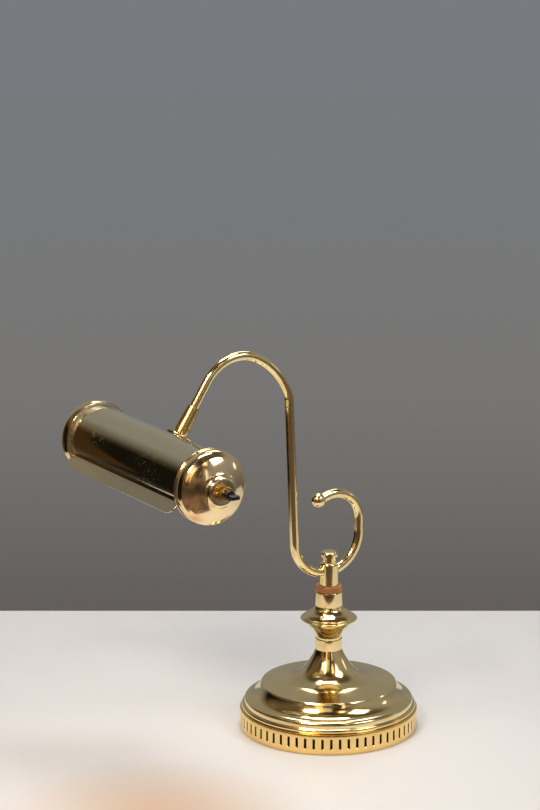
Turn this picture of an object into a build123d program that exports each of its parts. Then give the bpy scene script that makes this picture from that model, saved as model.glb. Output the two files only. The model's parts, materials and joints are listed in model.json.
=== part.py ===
from build123d import *
import math
import os

os.makedirs("parts", exist_ok=True)

# A brass desk lamp: pierced base, turned column, swinging bent-tube arm, swivelling hood with a turn switch.
# Millimetres. Z is up, the origin is the middle of the underside of the base, the arm reaches towards -Y.

# Clearances, and how far a cut runs past the metal
overrun = 3.0
running_gap = 0.05
thrust_gap = 0.1
passing_gap = 0.2

# Pierced gallery of the base
base_radius = 90.3
gallery_height = 20.4
gallery_wall = 1.2
gallery_flange_width = 8.5
slot_count = 64
slot_width = 2.5
slot_start_deg = 2.1
slot_sill_height = 6.0
slot_head_height = 3.2
cord_slot_index = 16
cord_hole_radius = 4.0
bushing_wall = 1.4
bushing_flange_width = 1.6
bushing_flange_depth = 1.5
bushing_lip_width = 0.7
bushing_lip_depth = 1.2
bushing_back_gap = 0.7

# Spun base shell. Ogee shares run from the step in to the plateau, flare shares from the neck out to it
shell_wall = 1.2
bead_radius = 2.7
bead_setback = 1.7
step_setback = 4.6
step_height = 8.1
plateau_setback = 21.9
plateau_rise = 26.1
neck_rise = 61.7
ogee_shares = (
    (0.023, 0.094),
    (0.104, 0.167),
    (0.283, 0.228),
    (0.468, 0.317),
    (0.630, 0.450),
    (0.769, 0.617),
    (0.879, 0.794),
    (0.948, 0.928),
)
flare_shares = ((0.741, 0.048), (0.475, 0.143), (0.268, 0.334), (0.128, 0.612), (0.046, 0.829))

# Weight and felt
felt_thickness = 2.7
weight_gap = 3.3
weight_floor = 9.3
weight_rim_width = 8.0
weight_hub_wall = 4.5
weight_hub_height = 17.3
recess_gap = 1.5

# Tie rod and its nut
rod_radius = 4.8
rod_wall = 1.8
rod_foot_gap = 1.8
rod_end_length = 0.5
rod_top_gap = 0.7
rod_nut_wall = 2.2
rod_nut_height = 4.6
rod_washer_width = 6.2
rod_washer_thickness = 1.4
hex_sides = 6

# Turned column. Cup shares run from the stem out to the knop, bell shares from the ridge in to the head
collar_radius = 13.5
collar_height = 11.4
stem_radius = 12.6
stem_height = 1.8
cup_shares = ((0.097, 0.190), (0.271, 0.430), (0.514, 0.637), (0.792, 0.832))
knop_radius = 28.8
knop_height = 22.0
knop_lip_inset = 1.8
knop_lip_height = 2.3
knop_edge_share = 0.40
knop_land_inset = 1.0
ridge_inset = 1.6
ridge_height = 1.7
ridge_fillet = 0.7
bell_inset = 1.0
bell_height = 12.5
bell_shares = ((0.235, 0.222), (0.609, 0.491), (0.870, 0.750))
head_radius = 13.7
head_height = 15.4
head_fillet = 1.0
spigot_wall = 2.7
spigot_depth = 6.3

# Arm swivel
washer_radius = 13.4
washer_thickness = 6.3
washer_fillet = 1.2
pivot_radius = 6.0
pivot_wall = 3.0
pivot_end_length = 1.0
bearing_length = 9.6
retainer_wall = 2.2
retainer_height = 4.0
chamber_gap = 0.6
post_radius = 9.6
post_height = 23.8
post_fillet = 2.4
cap_neck_radius = 6.4
cap_neck_height = 6.1
cap_radius = 8.5
cap_height = 5.3
cap_fillet = 2.2
cap_shank_radius = 4.0

# Bent arm
arm_radius = 4.75
arm_wall = 1.0
arm_cross_height = 13.65
loop_radius = 38.8
loop_setback = 3.1
pole_lean_deg = 2.4
pole_length = 148.15
hook_rear_radius = 31.4
hook_rear_deg = 22.8
hook_back_radius = 78.8
hook_back_deg = 36.1
hook_front_radius = 44.6
hook_front_deg = 85.7
hook_run_length = 38.4
scroll_radius = 29.7
scroll_rise = 12.9
scroll_past_deg = 15.2
scroll_tail_length = 11.8
ball_radius = 7.3
ball_socket_depth = 3.6
lead_radius = 2.2

# Ferrule and shade swivel
ferrule_length = 26.0
ferrule_grip_length = 10.0
ferrule_grip_wall = 1.55
ferrule_foot_wall = 1.5
ferrule_floor = 4.0
nipple_radius = 4.0
nipple_wall = 1.4
nipple_flange_width = 1.6
nipple_flange_height = 2.5
nipple_side_gap = 0.4
nipple_top_gap = 2.0
nipple_end_length = 5.7
swivel_nut_wall = 3.2
swivel_nut_height = 3.9
swivel_nut_foot_inset = 0.9
swivel_nut_foot_height = 1.9
swivel_plate_radius = 14.2
swivel_plate_thickness = 1.3
saddle_drop = 1.7
saddle_setback = 14.8
saddle_width = 18.0
saddle_front = 10.5
saddle_tail = 7.5
saddle_corner_radius = 2.5
saddle_screw_spread = 12.4
saddle_screw_deg = 15.0
saddle_screw_cover = 0.5
saddle_screw_radius = 1.5
saddle_screw_head_radius = 3.2
saddle_screw_head_height = 1.8

# Hood
shade_length = 254.0
sheet_radius = 32.5
sheet_wall = 0.8
sheet_front_deg = 20.0
sheet_back_deg = 30.0
lip_fall_deg = 44.0
lip_crease_radius = 1.6
lip_width = 13.6
lip_corner_radius = 9.0
match_share = 0.1

# End caps
plate_thickness = 1.2
cap_shell_wall = 0.9
skirt_reach = 2.5
skirt_width = 12.8
rim_gap = 0.2
rim_width = 1.6
rim_thickness = 1.4
shoulder_radius = 2.5
dome_depth = 15.0
boss_radius = 15.5
boss_taper = 1.5
boss_height = 5.0
screw_radius = 2.0
screw_head_width = 2.5
screw_head_height = 2.6
screw_nut_wall = 1.5
screw_nut_height = 3.0

# Lamp holder and tubular lamp
holder_wall = 3.4
holder_floor = 4.0
holder_lead_length = 6.0
holder_gap = 0.4
holder_nipple_radius = 4.8
holder_nipple_wall = 1.8
holder_nipple_grip = 3.0
lamp_cap_radius = 13.2
lamp_cap_wall = 0.6
lamp_cap_length = 27.0
lamp_cap_floor = 2.0
lamp_contact_radius = 3.5
lamp_contact_height = 4.0
lamp_tip_gap = 26.2
glass_radius = 15.8
glass_wall = 0.9
glass_neck_grip = 4.0
glass_neck_gap = 2.0
glass_cone_length = 8.0
diagonal_share = math.sqrt(0.5)

# Turn switch
switch_side_gap = 1.1
switch_back_gap = 3.4
switch_bushing_radius = 4.9
switch_bushing_length = 7.2
switch_nut_wall = 1.9
switch_nut_height = 6.0
key_shaft_radius = 3.0
key_shaft_depth = 10.0
key_gap = 0.4
key_collar_radius = 4.8
key_collar_length = 6.0
key_waist_radius = 2.6
key_waist_length = 2.8
key_paddle_width = 9.0
key_paddle_thickness = 4.2
key_paddle_length = 6.4
key_paddle_fillet = 1.2


def inset(points, distance):
    """Shift a row of radius and height points inwards by the wall, square to the row."""
    shifted = []
    last = len(points) - 1
    for index in range(len(points)):
        before = points[max(index - 1, 0)]
        after = points[min(index + 1, last)]
        run = after[0] - before[0]
        climb = after[1] - before[1]
        size = math.hypot(run, climb)
        shifted.append((points[index][0] - climb / size * distance, points[index][1] + run / size * distance))
    return shifted


def between(start, end, shares):
    """Points part of the way from one corner of an outline to the next, by shares across and up."""
    across = end[0] - start[0]
    up = end[1] - start[1]
    return [(start[0] + across * share[0], start[1] + up * share[1]) for share in shares]


def save(builder, name):
    builder.part.label = name
    export_step(builder.part, "parts/" + name + ".step")


# Heights up the column, from the tie rod's foot to the arm
rod_foot = felt_thickness + rod_foot_gap
rod_nut_foot = rod_foot + rod_end_length
rod_washer_foot = rod_nut_foot + rod_nut_height
recess_roof = rod_washer_foot + rod_washer_thickness
shell_seat = gallery_height
neck_height = shell_seat + neck_rise
cup_base = neck_height + collar_height
knop_top = cup_base + knop_height
head_seat = knop_top + bell_height
spigot_foot = head_seat - spigot_depth
rod_top = spigot_foot - rod_top_gap
head_top = head_seat + head_height
bearing_foot = head_top - bearing_length
retainer_foot = bearing_foot - thrust_gap - retainer_height
pivot_foot = retainer_foot - pivot_end_length
post_foot = head_top + washer_thickness
post_top = post_foot + post_height
cap_seat = post_top + cap_neck_height
arm_bottom = post_foot + arm_cross_height

# Felt pad under the weight
weight_radius = base_radius - gallery_wall - weight_gap
with BuildPart() as felt_pad:
    with BuildSketch():
        Circle(weight_radius)
    extrude(amount=felt_thickness)
save(felt_pad, "felt_pad")

# Cast weight with a raised rim that carries the gallery flange
gallery_flange_under = gallery_height - gallery_wall
rod_washer_radius = rod_radius + rod_washer_width
rod_passage = rod_radius + passing_gap
nut_recess_radius = rod_washer_radius + recess_gap
with BuildPart() as base_weight:
    with BuildSketch(Plane.XY.offset(felt_thickness)):
        Circle(weight_radius)
    extrude(amount=weight_floor)
    with BuildSketch(Plane.XY.offset(felt_thickness)):
        Circle(weight_radius)
        Circle(weight_radius - weight_rim_width, mode=Mode.SUBTRACT)
    extrude(amount=gallery_flange_under - felt_thickness)
    with BuildSketch(Plane.XY.offset(felt_thickness)):
        Circle(nut_recess_radius + weight_hub_wall)
    extrude(amount=weight_hub_height)
    with BuildSketch(Plane.XY.offset(felt_thickness)):
        Circle(nut_recess_radius)
    extrude(amount=recess_roof - felt_thickness, mode=Mode.SUBTRACT)
    with BuildSketch(Plane.XY.offset(felt_thickness)):
        Circle(rod_passage)
    extrude(amount=weight_hub_height + overrun, mode=Mode.SUBTRACT)
save(base_weight, "base_weight")

# Pierced gallery ring, one slot position at the back given over to the cord bushing
slot_height = gallery_flange_under - slot_sill_height - slot_head_height
slot_mid = slot_sill_height + slot_height / 2
slot_step_deg = 360.0 / slot_count


def ring_plane(index, radius):
    """Plane square to the ring at one slot position, facing out."""
    turn = math.radians(slot_start_deg + index * slot_step_deg)
    outward = Vector(math.cos(turn), math.sin(turn), 0)
    return Plane(origin=outward * radius + Vector(0, 0, slot_mid), x_dir=(0, 0, 1), z_dir=outward)


slot_planes = []
for index in range(slot_count):
    if index != cord_slot_index:
        slot_planes.append(ring_plane(index, base_radius - gallery_wall - overrun))
with BuildPart() as gallery_ring:
    with BuildSketch(Plane.XZ):
        with BuildLine():
            Polyline(
                (base_radius, 0),
                (base_radius, gallery_height),
                (base_radius - gallery_flange_width, gallery_height),
                (base_radius - gallery_flange_width, gallery_flange_under),
                (base_radius - gallery_wall, gallery_flange_under),
                (base_radius - gallery_wall, 0),
                close=True,
            )
        make_face()
    revolve(axis=Axis.Z)
    with BuildSketch(*slot_planes):
        Rectangle(slot_height, slot_width)
    extrude(amount=gallery_wall + overrun * 2, mode=Mode.SUBTRACT)
    with BuildSketch(ring_plane(cord_slot_index, base_radius - gallery_wall - overrun)):
        Circle(cord_hole_radius)
    extrude(amount=gallery_wall + overrun * 2, mode=Mode.SUBTRACT)
save(gallery_ring, "gallery_ring")

# Cord bushing, flange seated on the round of the ring
bushing_start = weight_radius + bushing_back_gap
with BuildPart() as cord_bushing:
    with BuildSketch(ring_plane(cord_slot_index, base_radius - gallery_wall)):
        Circle(cord_hole_radius + bushing_flange_width)
    extrude(amount=gallery_wall + bushing_flange_depth)
    with BuildSketch():
        Circle(base_radius)
    extrude(amount=gallery_height, mode=Mode.SUBTRACT)
    with BuildSketch(ring_plane(cord_slot_index, bushing_start)):
        Circle(cord_hole_radius)
    extrude(amount=base_radius + bushing_flange_depth - bushing_start)
    with BuildSketch(ring_plane(cord_slot_index, bushing_start)):
        Circle(cord_hole_radius + bushing_lip_width)
    extrude(amount=bushing_lip_depth)
    with BuildSketch(ring_plane(cord_slot_index, bushing_start - overrun)):
        Circle(cord_hole_radius - bushing_wall)
    extrude(amount=base_radius - bushing_start + bushing_flange_depth + overrun * 2, mode=Mode.SUBTRACT)
save(cord_bushing, "cord_bushing")

# Spun shell: rolled bead, step, ogee, dished plateau and trumpet neck
step_radius = base_radius - step_setback
bead_root = base_radius - bead_setback - bead_radius
step_corner = (step_radius, shell_seat + step_height)
plateau_edge = (base_radius - plateau_setback, shell_seat + plateau_rise)
neck_edge = (collar_radius, neck_height)
ogee_points = [step_corner] + between(step_corner, plateau_edge, ogee_shares) + [plateau_edge]
flare_span = ((collar_radius, plateau_edge[1]), (plateau_edge[0], neck_height))
flare_points = [plateau_edge] + between(flare_span[0], flare_span[1], flare_shares) + [neck_edge]
inner_row = inset(ogee_points + flare_points[1:], shell_wall)
inner_ogee = [(step_radius - shell_wall, shell_seat + step_height)] + inner_row[1:len(ogee_points)]
inner_flare = inner_row[len(ogee_points) - 1:-1] + [(collar_radius - shell_wall, neck_height)]
with BuildPart() as base_shell:
    with BuildSketch(Plane.XZ):
        with BuildLine():
            Line((step_radius - shell_wall, shell_seat), (bead_root, shell_seat))
            CenterArc((bead_root, shell_seat + bead_radius), bead_radius, -90, 180)
            Line((bead_root, shell_seat + bead_radius * 2), (step_radius, shell_seat + bead_radius * 2))
            Line((step_radius, shell_seat + bead_radius * 2), ogee_points[0])
            Spline(ogee_points)
            Spline(flare_points)
            Line(flare_points[-1], inner_flare[-1])
            Spline(inner_flare[::-1])
            Spline(inner_ogee[::-1])
            Line(inner_ogee[0], (step_radius - shell_wall, shell_seat))
        make_face()
    revolve(axis=Axis.Z)
save(base_shell, "base_shell")

# Tie rod with its nut and washer under the weight
with BuildPart() as tie_rod:
    with BuildSketch(Plane.XY.offset(rod_foot)):
        Circle(rod_radius)
        Circle(rod_radius - rod_wall, mode=Mode.SUBTRACT)
    extrude(amount=rod_top - rod_foot)
save(tie_rod, "tie_rod")

with BuildPart() as rod_washer:
    with BuildSketch(Plane.XY.offset(rod_washer_foot)):
        Circle(rod_washer_radius)
        Circle(rod_passage, mode=Mode.SUBTRACT)
    extrude(amount=rod_washer_thickness)
save(rod_washer, "rod_washer")

with BuildPart() as rod_nut:
    with BuildSketch(Plane.XY.offset(rod_nut_foot)):
        RegularPolygon(rod_radius + rod_nut_wall, hex_sides, major_radius=False)
        Circle(rod_radius, mode=Mode.SUBTRACT)
    extrude(amount=rod_nut_height)
save(rod_nut, "rod_nut")

# Plain collar on the trumpet neck
with BuildPart() as neck_collar:
    with BuildSketch(Plane.XY.offset(neck_height)):
        Circle(collar_radius)
        Circle(rod_passage, mode=Mode.SUBTRACT)
    extrude(amount=collar_height)
save(neck_collar, "neck_collar")

# Lower half of the knop: stem, cove and rolled edge
stem_top = (stem_radius, cup_base + stem_height)
cup_edge = (knop_radius - knop_lip_inset, knop_top - knop_lip_height)
knop_edge = (knop_radius, knop_top - knop_lip_height * knop_edge_share)
knop_land = (knop_radius - knop_land_inset, knop_top)
with BuildPart() as knop_lower:
    with BuildSketch(Plane.XZ):
        with BuildLine():
            Polyline((rod_passage, cup_base), (stem_radius, cup_base), stem_top)
            Spline([stem_top] + between(stem_top, cup_edge, cup_shares) + [cup_edge])
            ThreePointArc(cup_edge, knop_edge, knop_land)
            Polyline(knop_land, (rod_passage, knop_top), (rod_passage, cup_base))
        make_face()
    revolve(axis=Axis.Z)
save(knop_lower, "knop_lower")

# Upper half of the knop: ridge and ogee bell, tapped for the rod below and bored for the head above
ridge_radius = knop_land[0] - ridge_inset
ridge_top = knop_top + ridge_height
ridge_round = (ridge_radius - ridge_fillet, ridge_top - ridge_fillet)
bell_foot = (ridge_radius - bell_inset, ridge_top)
bell_top = (head_radius, head_seat)
spigot_radius = pivot_radius + retainer_wall + chamber_gap + spigot_wall
with BuildPart() as knop_upper:
    with BuildSketch(Plane.XZ):
        with BuildLine():
            Polyline((0, knop_top), (ridge_radius, knop_top), (ridge_radius, ridge_round[1]))
            CenterArc(ridge_round, ridge_fillet, 0, 90)
            Line((ridge_round[0], ridge_top), bell_foot)
            Spline([bell_foot] + between(bell_foot, bell_top, bell_shares) + [bell_top])
            Polyline(bell_top, (0, head_seat), (0, knop_top))
        make_face()
    revolve(axis=Axis.Z)
    with BuildSketch(Plane.XY.offset(knop_top)):
        Circle(rod_radius)
    extrude(amount=spigot_foot - knop_top + overrun, mode=Mode.SUBTRACT)
    with BuildSketch(Plane.XY.offset(spigot_foot)):
        Circle(spigot_radius)
    extrude(amount=spigot_depth + overrun, mode=Mode.SUBTRACT)
save(knop_upper, "knop_upper")

# Column head that carries the arm bearing
with BuildPart() as column_head:
    with BuildSketch(Plane.XY.offset(head_seat)):
        Circle(head_radius)
    extrude(amount=head_height)
    fillet(column_head.edges().group_by(Axis.Z)[-1], radius=head_fillet)
    with BuildSketch(Plane.XY.offset(spigot_foot)):
        Circle(spigot_radius)
    extrude(amount=spigot_depth)
    with BuildSketch(Plane.XY.offset(spigot_foot)):
        Circle(spigot_radius - spigot_wall)
    extrude(amount=bearing_foot - spigot_foot, mode=Mode.SUBTRACT)
    with BuildSketch(Plane.XY.offset(spigot_foot)):
        Circle(pivot_radius + running_gap)
    extrude(amount=head_top - spigot_foot + overrun, mode=Mode.SUBTRACT)
save(column_head, "column_head")

# Friction washer under the arm post
with BuildPart() as friction_washer:
    with BuildSketch(Plane.XY.offset(head_top)):
        Circle(washer_radius)
    extrude(amount=washer_thickness - thrust_gap)
    fillet(friction_washer.edges().group_by(Axis.Z)[-1], radius=washer_fillet)
    with BuildSketch(Plane.XY.offset(head_top)):
        Circle(pivot_radius + passing_gap * 2)
    extrude(amount=washer_thickness + overrun, mode=Mode.SUBTRACT)
save(friction_washer, "friction_washer")

# Route of the bent arm, in the plane it swings with
loop_start = (-loop_setback, arm_bottom)
with BuildLine(Plane.YZ) as front_route:
    front_loop = JernArc(loop_start, (-1, 0), loop_radius, pole_lean_deg - 90)
    pole = PolarLine(front_loop @ 1, pole_length, direction=front_loop % 1)
    hook_rear = JernArc(pole @ 1, pole % 1, hook_rear_radius, hook_rear_deg)
    hook_back = JernArc(hook_rear @ 1, hook_rear % 1, hook_back_radius, hook_back_deg)
    hook_front = JernArc(hook_back @ 1, hook_back % 1, hook_front_radius, hook_front_deg)
    hook_run = PolarLine(hook_front @ 1, hook_run_length, direction=hook_front % 1)
tail_length = scroll_tail_length - ball_radius + ball_socket_depth
with BuildLine(Plane.YZ) as back_route:
    back_loop = JernArc(loop_start, (1, 0), loop_radius, 90)
    rise = PolarLine(back_loop @ 1, scroll_rise, direction=back_loop % 1)
    scroll = JernArc(rise @ 1, rise % 1, scroll_radius, scroll_past_deg + 90)
    tail = PolarLine(scroll @ 1, tail_length, direction=scroll % 1)
arm_wire = Wire(front_route.edges() + back_route.edges())
arm_end = hook_run @ 1
arm_out = hook_run % 1
ball_centre = (scroll @ 1) + (scroll % 1) * scroll_tail_length
loop_plane = Plane(origin=(0, -loop_setback, arm_bottom + loop_radius), z_dir=(1, 0, 0))
lead_drop = Plane.XY.offset(pivot_foot)
lead_bore_radius = pivot_radius - pivot_wall

# Swivel post, bored along its pivot for the lead and across for the arm
with BuildPart() as swivel_post:
    with BuildSketch(Plane.XY.offset(post_foot)):
        Circle(post_radius)
    extrude(amount=post_height)
    fillet(swivel_post.edges().group_by(Axis.Z)[-1], radius=post_fillet)
    with BuildSketch(lead_drop):
        Circle(pivot_radius)
    extrude(amount=post_foot - pivot_foot)
    with BuildSketch(lead_drop):
        Circle(lead_bore_radius)
    extrude(amount=arm_bottom - pivot_foot, mode=Mode.SUBTRACT)
    with BuildSketch(Plane.XY.offset(arm_bottom)):
        Circle(cap_shank_radius)
    extrude(amount=post_height, mode=Mode.SUBTRACT)
    with Locations(loop_plane):
        Torus(loop_radius, arm_radius, mode=Mode.SUBTRACT)
save(swivel_post, "swivel_post")

# Retaining nut on the foot of the pivot
with BuildPart() as retaining_nut:
    with BuildSketch(Plane.XY.offset(retainer_foot)):
        RegularPolygon(pivot_radius + retainer_wall, hex_sides)
        Circle(pivot_radius, mode=Mode.SUBTRACT)
    extrude(amount=retainer_height)
save(retaining_nut, "retaining_nut")

# Flanged cap screw that clamps the arm in the post
with BuildPart() as post_cap:
    with BuildSketch(Plane.XY.offset(cap_seat)):
        Circle(cap_radius)
    extrude(amount=cap_height)
    fillet(post_cap.edges().group_by(Axis.Z)[-1], radius=cap_fillet)
    with BuildSketch(Plane.XY.offset(post_top)):
        Circle(cap_neck_radius)
    extrude(amount=cap_neck_height)
    with BuildSketch(Plane.XY.offset(arm_bottom)):
        Circle(cap_shank_radius)
    extrude(amount=post_top - arm_bottom)
    with Locations(loop_plane):
        Torus(loop_radius, arm_radius, mode=Mode.SUBTRACT)
save(post_cap, "post_cap")

# Bent arm tube with a hole underneath for the lead
with BuildPart() as arm_tube:
    with BuildSketch(Plane(origin=arm_wire @ 0, z_dir=arm_wire % 0)):
        Circle(arm_radius)
        Circle(arm_radius - arm_wall, mode=Mode.SUBTRACT)
    sweep(path=arm_wire)
    with BuildSketch(lead_drop):
        Circle(lead_bore_radius)
    extrude(amount=arm_bottom - pivot_foot, mode=Mode.SUBTRACT)
save(arm_tube, "arm_tube")

# Lead inside the arm from the post to the ferrule, lying along one side of the bore
lead_rest = arm_radius - arm_wall - lead_radius - running_gap
with BuildPart() as arm_lead:
    with BuildSketch(Plane(origin=front_loop @ 0, x_dir=(1, 0, 0), z_dir=front_loop % 0)):
        with Locations((lead_rest, 0)):
            Circle(lead_radius)
    sweep(path=front_route.wire())
save(arm_lead, "arm_lead")

# Ball that closes the scroll
with BuildPart() as ball_end:
    with Locations(Plane(origin=ball_centre, z_dir=(scroll % 1) * -1)):
        Sphere(ball_radius)
        with Locations((0, 0, ball_radius - ball_socket_depth)):
            Cylinder(arm_radius, ball_radius, align=(Align.CENTER, Align.CENTER, Align.MIN), mode=Mode.SUBTRACT)
save(ball_end, "ball_end")

# Swivel frame: origin on the foot of the ferrule, Z back up the ferrule, Y back and down behind the hood
ferrule_foot = arm_end + arm_out * (ferrule_length - ferrule_grip_length)
swivel = Plane(origin=ferrule_foot, x_dir=(1, 0, 0), z_dir=arm_out * -1)
plate_top = -thrust_gap - swivel_nut_height
plate_foot = plate_top - swivel_plate_thickness
shade_drop = saddle_drop + sheet_radius - plate_foot
shade_centre = swivel.from_local_coords((0, -saddle_setback, -shade_drop))
hood = Plane(origin=shade_centre, x_dir=(0, 1, 0), z_dir=(1, 0, 0))
shade_axis = Axis(shade_centre, (1, 0, 0))
sheet_bore = sheet_radius - sheet_wall
nipple_drop = shade_drop - math.sqrt(sheet_bore ** 2 - saddle_setback ** 2) + nipple_end_length
nipple_flange_radius = nipple_radius + nipple_flange_width

# Ferrule on the end of the arm, with a chamber for the head of the nipple
ferrule_chamber_radius = nipple_flange_radius + nipple_side_gap
with BuildPart() as ferrule:
    with BuildSketch(swivel):
        Circle(ferrule_chamber_radius + ferrule_foot_wall)
    with BuildSketch(swivel.offset(ferrule_length)):
        Circle(arm_radius + ferrule_grip_wall)
    loft()
    with BuildSketch(swivel.offset(ferrule_length - ferrule_grip_length)):
        Circle(arm_radius)
    extrude(amount=ferrule_grip_length + overrun, mode=Mode.SUBTRACT)
    with BuildSketch(swivel.offset(ferrule_floor)):
        Circle(ferrule_chamber_radius)
    extrude(amount=thrust_gap + nipple_flange_height + nipple_top_gap, mode=Mode.SUBTRACT)
    with BuildSketch(swivel.offset(-overrun)):
        Circle(nipple_radius + running_gap)
    extrude(amount=ferrule_length + overrun, mode=Mode.SUBTRACT)
save(ferrule, "ferrule")

# Flanged nipple the hood turns on
with BuildPart() as swivel_nipple:
    with BuildSketch(swivel.offset(-nipple_drop)):
        Circle(nipple_radius)
    extrude(amount=nipple_drop + ferrule_floor + thrust_gap)
    with BuildSketch(swivel.offset(ferrule_floor + thrust_gap)):
        Circle(nipple_flange_radius)
    extrude(amount=nipple_flange_height)
    with BuildSketch(swivel.offset(-nipple_drop - overrun)):
        Circle(nipple_radius - nipple_wall)
    extrude(amount=nipple_drop + ferrule_floor + nipple_flange_height + overrun * 2, mode=Mode.SUBTRACT)
save(swivel_nipple, "swivel_nipple")

# Stepped nut under the ferrule
with BuildPart() as swivel_nut:
    with BuildSketch(swivel.offset(plate_top)):
        Circle(nipple_radius + swivel_nut_wall - swivel_nut_foot_inset)
    extrude(amount=swivel_nut_foot_height)
    with BuildSketch(swivel.offset(plate_top + swivel_nut_foot_height)):
        Circle(nipple_radius + swivel_nut_wall)
    extrude(amount=swivel_nut_height - swivel_nut_foot_height)
    with BuildSketch(swivel.offset(plate_top - overrun)):
        Circle(nipple_radius)
    extrude(amount=swivel_nut_height + overrun * 2, mode=Mode.SUBTRACT)
save(swivel_nut, "swivel_nut")

# Thin plate under the nut
with BuildPart() as swivel_plate:
    with BuildSketch(swivel.offset(plate_foot)):
        Circle(swivel_plate_radius)
        Circle(nipple_radius, mode=Mode.SUBTRACT)
    extrude(amount=swivel_plate_thickness)
save(swivel_plate, "swivel_plate")

# Saddle screw directions and the saddle that fits the round of the hood
screw_tilt = math.radians(saddle_screw_deg)
screw_out = swivel.z_dir * math.cos(screw_tilt) + swivel.y_dir * math.sin(screw_tilt)
screw_head_seat = math.sqrt(sheet_bore ** 2 - saddle_screw_head_radius ** 2)
screw_tip = (sheet_radius + saddle_drop) / math.cos(screw_tilt) - saddle_screw_cover
screw_planes = []
for side in (-1, 1):
    screw_foot = shade_centre + Vector(side * saddle_screw_spread / 2, 0, 0)
    screw_planes.append(Plane(origin=screw_foot, x_dir=(1, 0, 0), z_dir=screw_out))
saddle_reach = saddle_setback + saddle_tail
saddle_depth = saddle_drop + sheet_radius - math.sqrt(sheet_radius ** 2 - saddle_reach ** 2)
with BuildPart() as shade_saddle:
    with BuildSketch(swivel.offset(plate_foot)):
        with Locations((0, (saddle_tail - saddle_front) / 2)):
            RectangleRounded(saddle_width, saddle_tail + saddle_front, saddle_corner_radius)
    extrude(amount=-saddle_depth)
    with BuildSketch(hood.offset(-saddle_width)):
        Circle(sheet_radius)
    extrude(amount=saddle_width * 2, mode=Mode.SUBTRACT)
    with BuildSketch(swivel.offset(plate_foot)):
        Circle(nipple_radius)
    extrude(amount=-saddle_depth - overrun, mode=Mode.SUBTRACT)
    with BuildSketch(*screw_planes):
        Circle(saddle_screw_radius)
    extrude(amount=screw_tip, mode=Mode.SUBTRACT)
save(shade_saddle, "shade_saddle")

with BuildPart() as saddle_screws:
    for screw_plane in screw_planes:
        with BuildSketch(screw_plane.offset(screw_head_seat - saddle_screw_head_height)):
            Circle(saddle_screw_head_radius)
        extrude(amount=saddle_screw_head_height)
        with BuildSketch(screw_plane.offset(screw_head_seat)):
            Circle(saddle_screw_radius)
        extrude(amount=screw_tip - screw_head_seat)
save(saddle_screws, "saddle_screws")

# Lengths along the hood: over the domes it is the hood's length, the bosses stand out beyond it
half_shade = shade_length / 2
skirt_inner_radius = sheet_radius + skirt_reach
skirt_outer_radius = skirt_inner_radius + cap_shell_wall
shoulder_height = skirt_outer_radius - shoulder_radius
dome_span = dome_depth ** 2 + shoulder_height ** 2 - shoulder_radius ** 2
dome_radius = dome_span / (2 * (dome_depth - shoulder_radius))
boss_rise = dome_depth - dome_radius + math.sqrt(dome_radius ** 2 - boss_radius ** 2)
skirt_end = half_shade - boss_rise
boss_top = half_shade + boss_height
rim_start = skirt_end - skirt_width
half_sheet = rim_start - rim_gap
dome_centre = skirt_end + dome_depth - dome_radius
join_angle = math.atan2(shoulder_height, skirt_end - dome_centre)

# Hood sheet: rolled from the back edge over the top to a flared front lip with rounded corners
sheet_sweep_deg = sheet_back_deg + 180 + sheet_front_deg
lip_turn_deg = sheet_front_deg + 90 - lip_fall_deg
with BuildPart() as shade_sheet:
    with BuildSketch(hood):
        with BuildLine():
            outer_roll = CenterArc((0, 0), sheet_radius, -sheet_back_deg, sheet_sweep_deg)
            outer_crease = JernArc(outer_roll @ 1, outer_roll % 1, lip_crease_radius, -lip_turn_deg)
            outer_lip = PolarLine(outer_crease @ 1, lip_width, direction=outer_crease % 1)
            inner_roll = CenterArc((0, 0), sheet_bore, -sheet_back_deg, sheet_sweep_deg)
            inner_crease = JernArc(
                inner_roll @ 1, inner_roll % 1, lip_crease_radius + sheet_wall, -lip_turn_deg
            )
            inner_lip = PolarLine(inner_crease @ 1, lip_width, direction=inner_crease % 1)
            Line(outer_roll @ 0, inner_roll @ 0)
            Line(outer_lip @ 1, inner_lip @ 1)
        make_face()
    extrude(amount=half_sheet, both=True)
    lip_ends = shade_sheet.edges().filter_by(lambda edge: abs(edge.length - sheet_wall) < sheet_wall * match_share)
    fillet(lip_ends.sort_by(Axis.Y)[:2], radius=lip_corner_radius)
    with BuildSketch(swivel.offset(-nipple_drop - overrun)):
        Circle(nipple_radius + passing_gap)
    extrude(amount=nipple_drop, mode=Mode.SUBTRACT)
    with BuildSketch(*screw_planes):
        Circle(saddle_screw_radius + passing_gap)
    extrude(amount=sheet_radius + overrun, mode=Mode.SUBTRACT)
save(shade_sheet, "shade_sheet")

# End plates that close the hood and carry the caps
with BuildPart() as switch_plate:
    with BuildSketch(hood.offset(half_sheet)):
        Circle(skirt_inner_radius)
        Circle(holder_nipple_radius + passing_gap, mode=Mode.SUBTRACT)
    extrude(amount=plate_thickness)
save(switch_plate, "switch_plate")

with BuildPart() as plain_plate:
    with BuildSketch(hood.offset(-half_sheet)):
        Circle(skirt_inner_radius)
        Circle(screw_radius + passing_gap, mode=Mode.SUBTRACT)
    extrude(amount=-plate_thickness)
save(plain_plate, "plain_plate")

# Domed end caps: rim band, short skirt, rounded shoulder, dome and raised boss
cap_section = Plane(origin=shade_centre, x_dir=(1, 0, 0), z_dir=(0, -1, 0))


def shoulder_point(side, angle, wall):
    """A point of the rounded shoulder at an angle from the axis, on the outside or one wall in."""
    reach = shoulder_radius - wall
    return (side * (skirt_end + reach * math.cos(angle)), shoulder_height + reach * math.sin(angle))


def dome_point(side, distance, wall):
    """A point of the dome at a distance from the axis, on the outside or one wall in."""
    return (side * (dome_centre + math.sqrt((dome_radius - wall) ** 2 - distance ** 2)), distance)


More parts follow.
